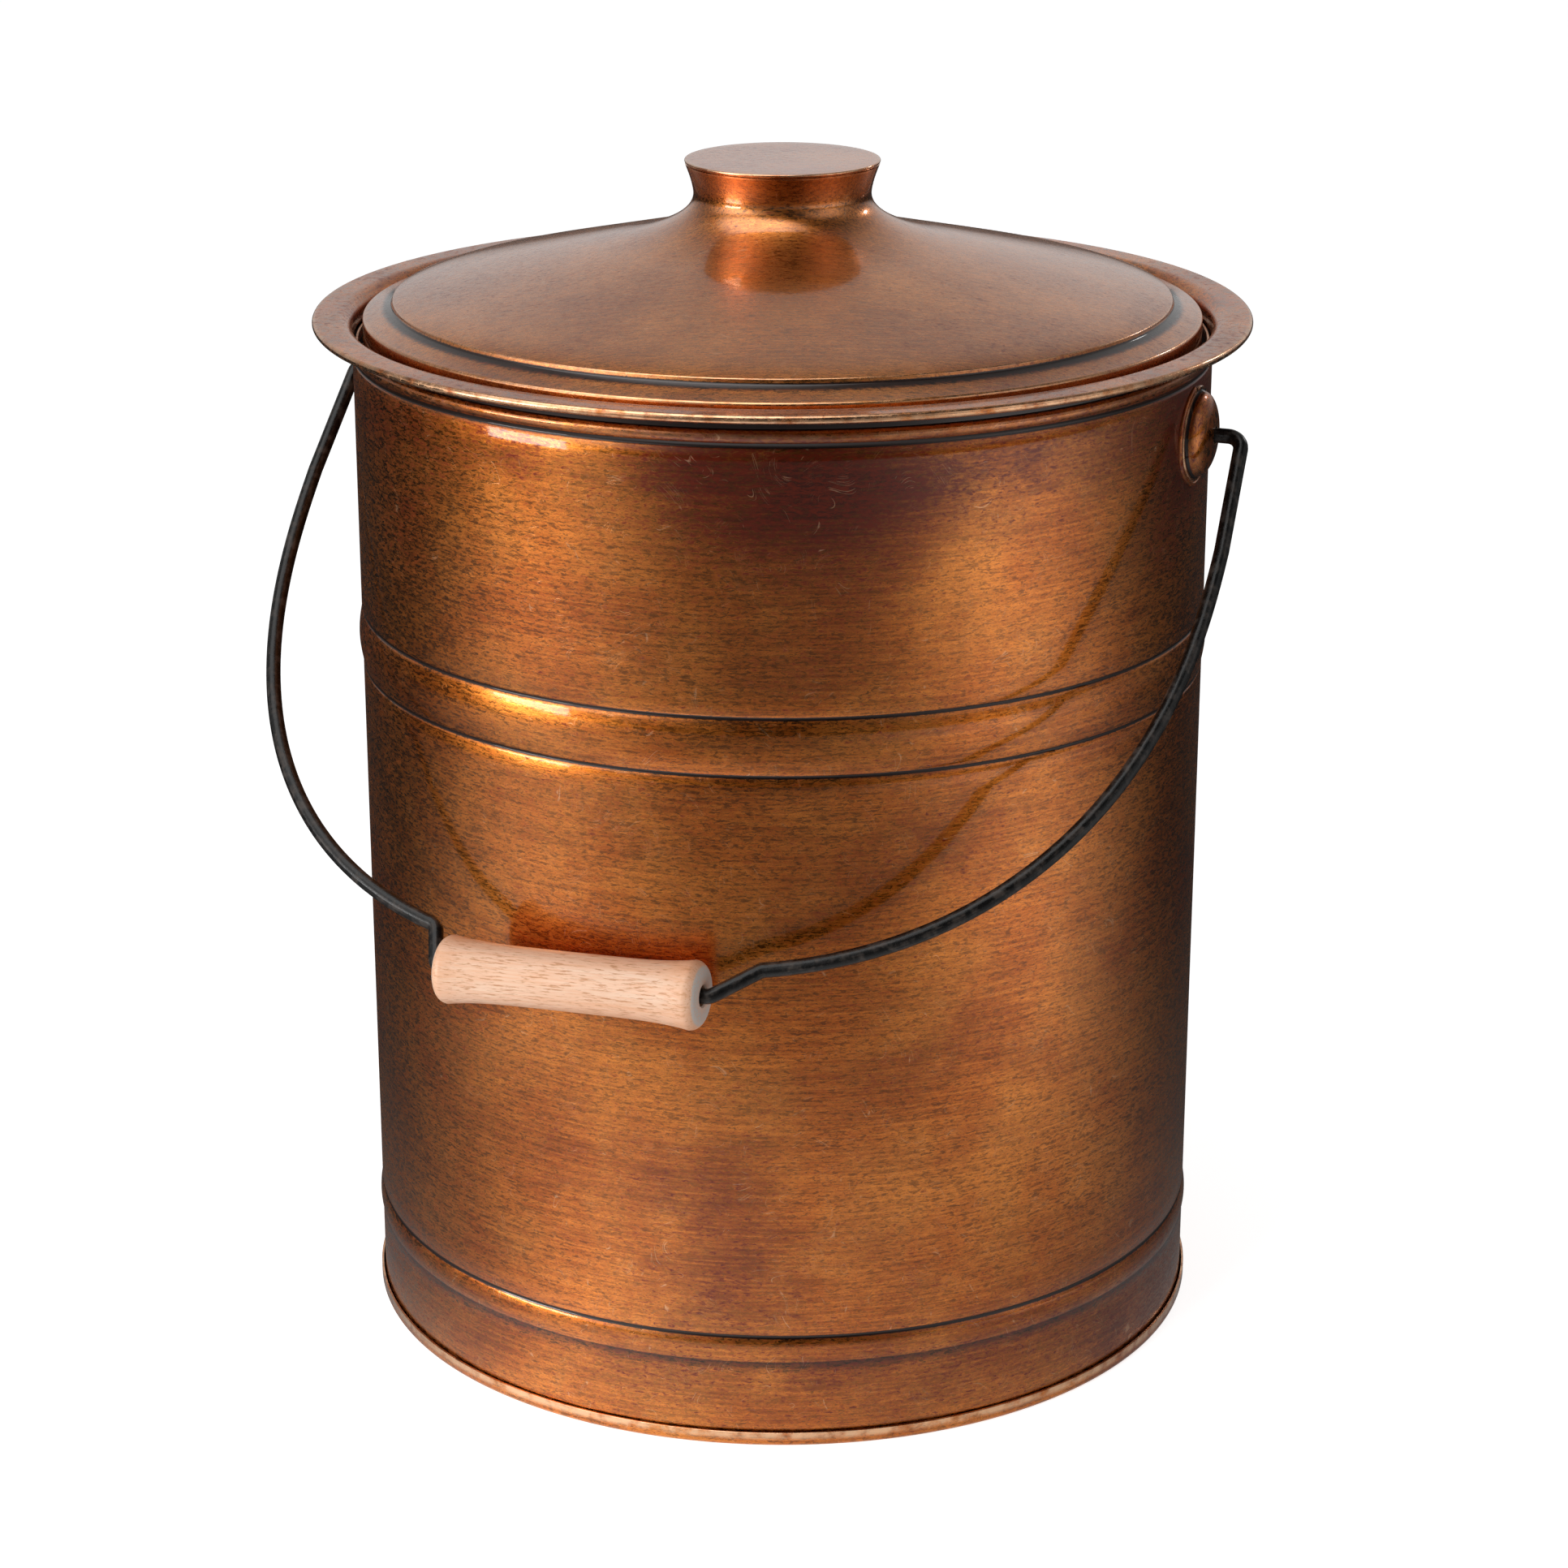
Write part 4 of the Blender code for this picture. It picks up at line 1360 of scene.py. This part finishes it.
@dataclass
class Bail:
    """The hand-bent wire that hangs from the ears and carries the grip."""

    shop: Workshop
    datum: Datum
    coat: bpy.types.Material
    wire_radius: float = 2.5 * MM
    head: float = 1.6
    head_start: float = 147.8 * MM
    head_length: float = 1.6 * MM
    half_width: float = 164.7 * MM
    splay: float = 2.0 * MM
    bend: float = 5.2 * MM
    leg: float = 44.7 * MM
    bow: float = 172.3 * MM
    squareness: float = 2.43
    reach: float = 224.1 * MM
    skew: float = 0.036
    grip_offset: float = -12.8 * MM
    half_crank: float = 47.7 * MM
    jogs: tuple[float, float] = (4.6 * MM, 14.6 * MM)
    crank_bend: float = 4.5 * MM

    def bow_depth(self, across: float) -> float:
        """Distance of the bow from the pivot axis."""
        share = 1 - (abs(across) / self.half_width) ** self.squareness
        return self.leg + self.bow * share ** (1 / self.squareness)

    @staticmethod
    def rounded(before: Point, corner: Point, after: Point, radius: float, steps: int) -> list[Point]:
        """The bend that replaces a corner between two straight runs.

        Args:
            before: A point of the run before.
            corner: The corner.
            after: A point of the run after.
            radius: Radius of the bend.
            steps: Number of chords.

        Returns:
            The bend's points.
        """
        start, turn, end = Vector(before), Vector(corner), Vector(after)
        back = (start - turn).normalized()
        ahead = (end - turn).normalized()
        half = back.angle(ahead) / 2
        centre = turn + (back + ahead).normalized() * radius / math.sin(half)
        first = turn + back * radius / math.tan(half) - centre
        last = turn + ahead * radius / math.tan(half) - centre
        sweep = first.angle(last)
        points = []
        for i in range(steps + 1):
            share = i / steps
            mixed = first * math.sin((1 - share) * sweep) + last * math.sin(share * sweep)
            points.append(tuple(centre + mixed / math.sin(sweep)))
        return points

    def half(self, side: Side) -> list[Point]:
        """Half of the wire, from its head in the ear to the middle of the grip.

        Args:
            side: Which half.

        Returns:
            Points as (across, down) from the middle of the pivot axis.
        """
        neck = self.head_start + self.head_length
        corner = (self.half_width - self.splay, 0.0)
        leg_end = (self.half_width, self.leg)
        crank_end = (side.value * self.grip_offset + self.half_crank, self.reach)
        jog_end = crank_end[0] + self.jogs[0 if side is Side.LEFT else 1]
        points = [(self.head_start, 0.0), (neck, 0.0), (neck + 0.1 * MM, 0.0)]
        points += self.rounded((neck, 0.0), corner, leg_end, self.bend, 12)
        points += [(self.half_width - self.splay * 0.5, self.leg * 0.5), leg_end]
        steps = 64
        last = math.acos((jog_end / self.half_width) ** (self.squareness / 2))
        for i in range(1, steps):
            across = self.half_width * math.cos(last * i / steps) ** (2 / self.squareness)
            points.append((across, self.bow_depth(across)))
        bow_end = (jog_end, self.bow_depth(jog_end))
        points += self.rounded(points[-6], bow_end, crank_end, self.crank_bend, 8)
        points += self.rounded(bow_end, crank_end, (0.0, self.reach), self.crank_bend, 10)
        return [(side.value * across, down) for across, down in points]

    def path(self) -> list[Vector]:
        """The whole wire at rest.

        Returns:
            Points along its middle.
        """
        pivot = Vector((0.0, 0.0, self.datum.pivot_height))
        down = self.datum.grip_middle - pivot
        down.x = 0.0
        down.normalize()
        flat = self.half(Side.LEFT) + self.half(Side.RIGHT)[::-1]
        places = []
        for across, depth in flat:
            depth *= 1 - self.skew * across / self.reach
            places.append(pivot + Vector((across, 0.0, 0.0)) + down * depth)
        return places

    def build(self) -> None:
        """Make the wire."""
        path = self.path()
        stout = np.ones(len(path), np.float32)
        stout[[0, 1, -1, -2]] = self.head
        wire = self.shop.drawn("bail_bow", path, stout, self.wire_radius, WIRE_FACETS, self.coat)
        hand_over(wire, "bail", "black_wire", "bail_wire")


@dataclass
class Grip:
    """The turned wooden grip."""

    shop: Workshop
    datum: Datum
    wood: bpy.types.Material
    half: float = 45.5 * MM
    end_radius: float = 11.35 * MM
    waist_radius: float = 9.7 * MM
    swell_power: float = 4.5
    round: float = 3.6 * MM
    bore: float = 3.4 * MM
    bore_bevel: float = 0.5 * MM

    def section(self) -> Section:
        """Half section about the grip's own axis: a low waist, round ends and a bore.

        Returns:
            The closed section.
        """
        shoulder = self.half - self.round
        inner = self.end_radius - self.round

        def side(share: float) -> Point:
            """A point of the waisted side, for a share from -1 to 1."""
            swell = abs(share) ** self.swell_power
            return self.waist_radius + (self.end_radius - self.waist_radius) * swell, -shoulder * share

        section = Section().to((self.bore + self.bore_bevel, self.half))
        section.arc((inner, shoulder), self.round, 90, 0, 12).curve(side, -1.0, 1.0, 36)
        section.arc((inner, -shoulder), self.round, 0, -90, 12).to((self.bore + self.bore_bevel, -self.half))
        return section.to((self.bore, self.bore_bevel - self.half), (self.bore, self.half - self.bore_bevel))

    def build(self) -> None:
        """Make the grip on the axis of its joint."""
        turn = UP.rotation_difference(self.datum.grip_axis).to_matrix().to_4x4()
        place = Matrix.Translation(self.datum.grip_middle) @ turn
        grip = self.shop.turned("wooden_grip", self.section(), self.wood, SMALL_FACETS, place=place)
        hand_over(grip, "grip", "beech", "grip")


# ---------------------------------------------------------------- studio


@dataclass(frozen=True)
class Panel:
    """A soft light on a stand, aimed at the bucket.

    Bearing is in degrees to the right of the camera, seen from the bucket.
    """

    name: str
    bearing: float
    distance: float
    height: float
    width: float
    tall: float
    radiance: float
    mirrored: bool = False


@dataclass(frozen=True)
class Glow:
    """A soft-edged bright patch of the room, as polished metal mirrors it.

    Bearings are in degrees to the right of the camera. Rises are the upward part of a direction, from 0 to 1.
    """

    bearing: float
    spread: float
    strength: float
    rise: tuple[float, float] = (-0.10, 0.06)
    fall: tuple[float, float] = (0.50, 0.85)


@dataclass
class Studio:
    """The pale floor, the room, the lights and the camera."""

    camera_bearing: float = 20.8
    camera_distance: float = 1.2977
    camera_height: float = 0.6287
    camera_aside: float = 0.0005
    camera_dip: float = 18.896
    lens: float = 88.33
    sensor: float = 36.0
    farthest: float = 50.0
    target: Vector = field(default_factory=lambda: Vector((0.0, 0.0, 0.20)))
    floor_size: float = 14.0
    floor_white: float = 0.93
    room_level: float = 0.28
    floor_lift: float = 0.74
    dark_level: float = 0.024
    panels: tuple[Panel, ...] = (
        Panel("key_left", -40.0, 1.5, 0.70, 0.80, 0.80, 5.4),
        Panel("fill_right", 62.0, 1.6, 0.60, 0.80, 0.80, 1.5),
        Panel("strip_left", -66.0, 1.5, 0.34, 0.62, 0.22, 13.0, True),
        Panel("kicker_right", 130.0, 1.5, 0.95, 0.16, 0.20, 12.0, True),
    )
    room: tuple[Glow, ...] = (
        Glow(-62.0, 26.0, 3.2, (0.00, 0.16), (0.42, 0.66)),
        Glow(62.0, 27.0, 0.85, (-0.02, 0.14)),
        Glow(180.0, 66.0, 0.60, (-0.10, 0.06), (0.30, 1.25)),
    )
    overhead: tuple[float, float, float, float] = (-0.32, 0.14, 0.937, 2.9)
    overhead_edge: tuple[float, float] = (0.78, 0.98)
    near_floor: tuple[Glow, ...] = (Glow(-34.0, 24.0, 0.75), Glow(0.0, 66.0, 0.80))
    mid_floor: tuple[Glow, ...] = (Glow(-60.0, 27.0, 0.95), Glow(60.0, 26.0, 1.00), Glow(5.0, 42.0, 0.24))
    far_floor: tuple[Glow, ...] = (Glow(-52.0, 22.0, 0.55), Glow(60.0, 29.0, 1.35), Glow(5.0, 40.0, 0.16))
    floor_changes: tuple[Point, ...] = ((0.22, 0.62), (0.95, 1.60))

    def direction(self, bearing: float) -> Vector:
        """Level direction away from the bucket."""
        angle = math.radians(self.camera_bearing + bearing)
        return Vector((math.sin(angle), -math.cos(angle), 0.0))

    def build(self) -> None:
        """Set up everything that isn't the bucket."""
        self.build_camera()
        self.build_floor()
        self.build_world()
        for panel in self.panels:
            self.build_panel(panel)
        bpy.context.scene.view_settings.view_transform = "Standard"

    def build_camera(self) -> None:
        """Set up the camera."""
        data = bpy.data.cameras.new("camera")
        data.lens = self.lens
        data.sensor_width = self.sensor
        data.clip_end = self.farthest
        camera = placed("camera", data)
        aside = self.direction(90.0) * self.camera_aside
        camera.location = self.direction(0.0) * self.camera_distance + aside + UP * self.camera_height
        camera.rotation_euler = (math.radians(90.0 - self.camera_dip), 0.0, math.radians(self.camera_bearing))
        bpy.context.scene.camera = camera

    def bearing_of(self, maker: NodeMaker, way: Socket) -> Socket:
        """The bearing of a direction or of a place on the floor.

        Args:
            maker: The tree's node maker.
            way: The direction, from the bucket's axis.

        Returns:
            The socket of its bearing in degrees, from -180 to 180.
        """
        across = maker.measure("DOT_PRODUCT", way, self.direction(90.0))
        ahead = maker.measure("DOT_PRODUCT", way, self.direction(0.0))
        return maker.math("DEGREES", maker.math("ARCTAN2", across, ahead))

    @staticmethod
    def lobe(maker: NodeMaker, bearing: Socket, glow: Glow) -> Socket:
        """The sideways fall-off of one glow.

        Args:
            maker: The tree's node maker.
            bearing: The socket of the bearing.
            glow: The glow.

        Returns:
            The socket of its brightness.
        """
        away = maker.math("ABSOLUTE", maker.math("SUBTRACT", bearing, glow.bearing))
        away = maker.math("MINIMUM", away, maker.math("SUBTRACT", 360.0, away))
        share = maker.math("DIVIDE", away, glow.spread)
        squared = maker.math("MULTIPLY", maker.math("MULTIPLY", share, share), -1.0)
        return maker.math("MULTIPLY", maker.math("EXPONENT", squared), glow.strength)

    def build_floor(self) -> None:
        """Lay the pale floor, lit unevenly where the metal mirrors it."""
        half = self.floor_size / 2
        mesh = bpy.data.meshes.new("floor")
        corners = [(-half, -half, 0.0), (half, -half, 0.0), (half, half, 0.0), (-half, half, 0.0)]
        mesh.from_pydata(corners, [], [(0, 1, 2, 3)])
        material, maker, shader = new_material("pale_floor")
        white = self.floor_white
        maker.drive(shader, Base_Color=(white, white, white, 1.0), Roughness=0.9, Specular_IOR_Level=0.1)
        path = maker.add("ShaderNodeLightPath").outputs
        place = maker.object_place()
        distance = maker.measure("LENGTH", place)
        bearing = self.bearing_of(maker, place)
        levels = []
        for glows in (self.near_floor, self.mid_floor, self.far_floor):
            level = self.dark_level
            for glow in glows:
                level = maker.math("ADD", level, self.lobe(maker, bearing, glow))
            levels.append(level)
        level = levels[0]
        for change, farther in zip(self.floor_changes, levels[1:]):
            level = maker.between(maker.ramp(distance, *change), level, farther)
        mirrored = maker.add("ShaderNodeEmission", {"Strength": level}).outputs[0]
        lift = maker.math("MULTIPLY", path["Is Camera Ray"], self.floor_lift)
        maker.drive(shader, Emission_Strength=lift, Emission_Color=(1.0, 1.0, 1.0, 1.0))
        inputs = {0: path["Is Glossy Ray"], 1: shader.outputs[0], 2: mirrored}
        mixed = maker.add("ShaderNodeMixShader", inputs)
        output = next(node for node in maker.tree.nodes if node.type == "OUTPUT_MATERIAL")
        maker.tree.links.new(mixed.outputs[0], output.inputs["Surface"])
        material.cycles.emission_sampling = "NONE"
        mesh.materials.append(material)
        placed("floor", mesh)

    def build_world(self) -> None:
        """Light the floor evenly, and let the metal mirror a darker room with soft bright patches."""
        world = bpy.data.worlds.new("room")
        world.use_nodes = True
        bpy.context.scene.world = world
        maker = NodeMaker(world.node_tree)
        background = world.node_tree.nodes["Background"]
        path = maker.add("ShaderNodeLightPath").outputs
        way = maker.add("ShaderNodeTexCoord").outputs["Generated"]
        bearing = self.bearing_of(maker, way)
        rise = maker.add("ShaderNodeSeparateXYZ", {0: way}).outputs["Z"]
        level = self.dark_level
        for glow in self.room:
            light = maker.math("MULTIPLY", self.lobe(maker, bearing, glow), maker.ramp(rise, *glow.rise))
            light = maker.math("MULTIPLY", light, maker.ramp(rise, *glow.fall, 1.0, 0.0))
            level = maker.math("ADD", level, light)
        across, ahead, up, strength = self.overhead
        aim = (self.direction(90.0) * across + self.direction(0.0) * ahead + UP * up).normalized()
        over = maker.measure("DOT_PRODUCT", way, aim)
        level = maker.math("ADD", level, maker.ramp(over, *self.overhead_edge, 0.0, strength))
        level = maker.between(path["Is Glossy Ray"], self.room_level, level)
        level = maker.between(path["Is Camera Ray"], level, 1.0)
        maker.drive(background, Strength=level, Color=(1.0, 1.0, 1.0, 1.0))
        world.cycles.sampling_method = "NONE"

    def build_panel(self, panel: Panel) -> None:
        """Set up one soft light, aimed at the bucket.

        Args:
            panel: Its place, size and strength.
        """
        data = bpy.data.lights.new(panel.name, "AREA")
        data.shape = "RECTANGLE"
        data.size = panel.width
        data.size_y = panel.tall
        data.energy = panel.radiance * math.pi * panel.width * panel.tall
        light = placed(panel.name, data)
        light.location = self.direction(panel.bearing) * panel.distance + UP * panel.height
        aim = self.target - light.location
        light.rotation_euler = aim.to_track_quat("-Z", "Y").to_euler()
        light.visible_camera = False
        light.visible_glossy = panel.mirrored


def wall_zone(bearing: float, height: float, reach: float, strength: float) -> Zone:
    """A darker patch on the wall.

    Args:
        bearing: Degrees round the bucket from its front towards the right ear.
        height: Height of its middle in millimetres.
        reach: Its radius in millimetres.
        strength: How dark it is.

    Returns:
        Its middle, reach and strength, in metres.
    """
    angle = math.radians(bearing)
    wall = 147 * MM
    return wall * math.sin(angle), -wall * math.cos(angle), height * MM, reach * MM, strength


def wall_zones(datum: Datum) -> tuple[Zone, ...]:
    """Where the wall is darker: under the rim, a band that is partly patina and partly painted shade of the
    rim's overhang, at the foot, round the ears and in a few stains.

    Args:
        datum: The places that the pieces are set out from.

    Returns:
        The zones.
    """
    # Band under the rim: partly patina, partly painted shade where the rim's overhang darkens what the wall
    # mirrors.
    under_rim_patina_and_shade = (0.0, 0.0, datum.rim_top - 22 * MM, 26 * MM, 0.35)
    foot_zone = (0.0, 0.0, 18 * MM, 30 * MM, 0.35)
    ear_zones = ((side.value * 148 * MM, 0.001 * MM, datum.pivot_height, 44 * MM, 1.3) for side in Side)
    neck_stains = (wall_zone(19, 328, 46, 0.95), wall_zone(32, 320, 42, 0.75), wall_zone(8, 336, 26, 0.65))
    side_stains = (wall_zone(78, 296, 34, 0.6), wall_zone(-38, 300, 44, 0.35))
    low_stains = (wall_zone(12, 60, 50, 0.3), wall_zone(-30, 120, 40, 0.3))
    return under_rim_patina_and_shade, foot_zone, *ear_zones, *neck_stains, *side_stains, *low_stains


def main() -> None:
    """Make the bucket and its studio."""
    logging.basicConfig(level=logging.INFO, format="%(name)s: %(message)s")
    datum = Datum.from_frame()
    shop = Workshop()
    copper_wall = CopperFinish("copper_wall", zones=wall_zones(datum)).material()
    copper_foot = CopperFinish("copper_foot").material()
    golden = {"bright": (0.86, 0.300, 0.060), "warm": (0.62, 0.195, 0.038)}
    copper_lid = CopperFinish(
        "copper_lid", Grain.ACROSS, patina=0.45, coat=0.8, shade=0.55, **golden
    ).material()
    copper_disc = CopperFinish("copper_knob_disc", Grain.ACROSS, coat=1.0, shade=0.6).material()
    copper_ear = CopperFinish("copper_ear", grain=Grain.OWN, patina=1.3, shade=0.3).material()
    copper_dull = CopperFinish("copper_dull", patina=0.9, coat=0.2, roughness=0.45).material()
    solder = CopperFinish("dark_solder", grain=Grain.OWN, patina=1.6, roughness=0.36).material()
    steel = SteelFinish("plain_steel").material()
    wire_coat = WireFinish().material()
    beech = BeechFinish().material()

    BucketBody(shop, datum, copper_wall, steel).build()
    Bottoms(shop, copper_foot, steel).build()
    LidSeat(shop, datum, copper_dull).build()
    Lid(shop, datum, copper_lid, copper_disc).build()
    for side in Side:
        Ear(shop, datum, copper_ear, side).build()
        SolderSeam(shop, datum, solder, side).build()
    Bail(shop, datum, wire_coat).build()
    Grip(shop, datum, beech).build()
    Studio().build()


if __name__ == "__main__":
    main()
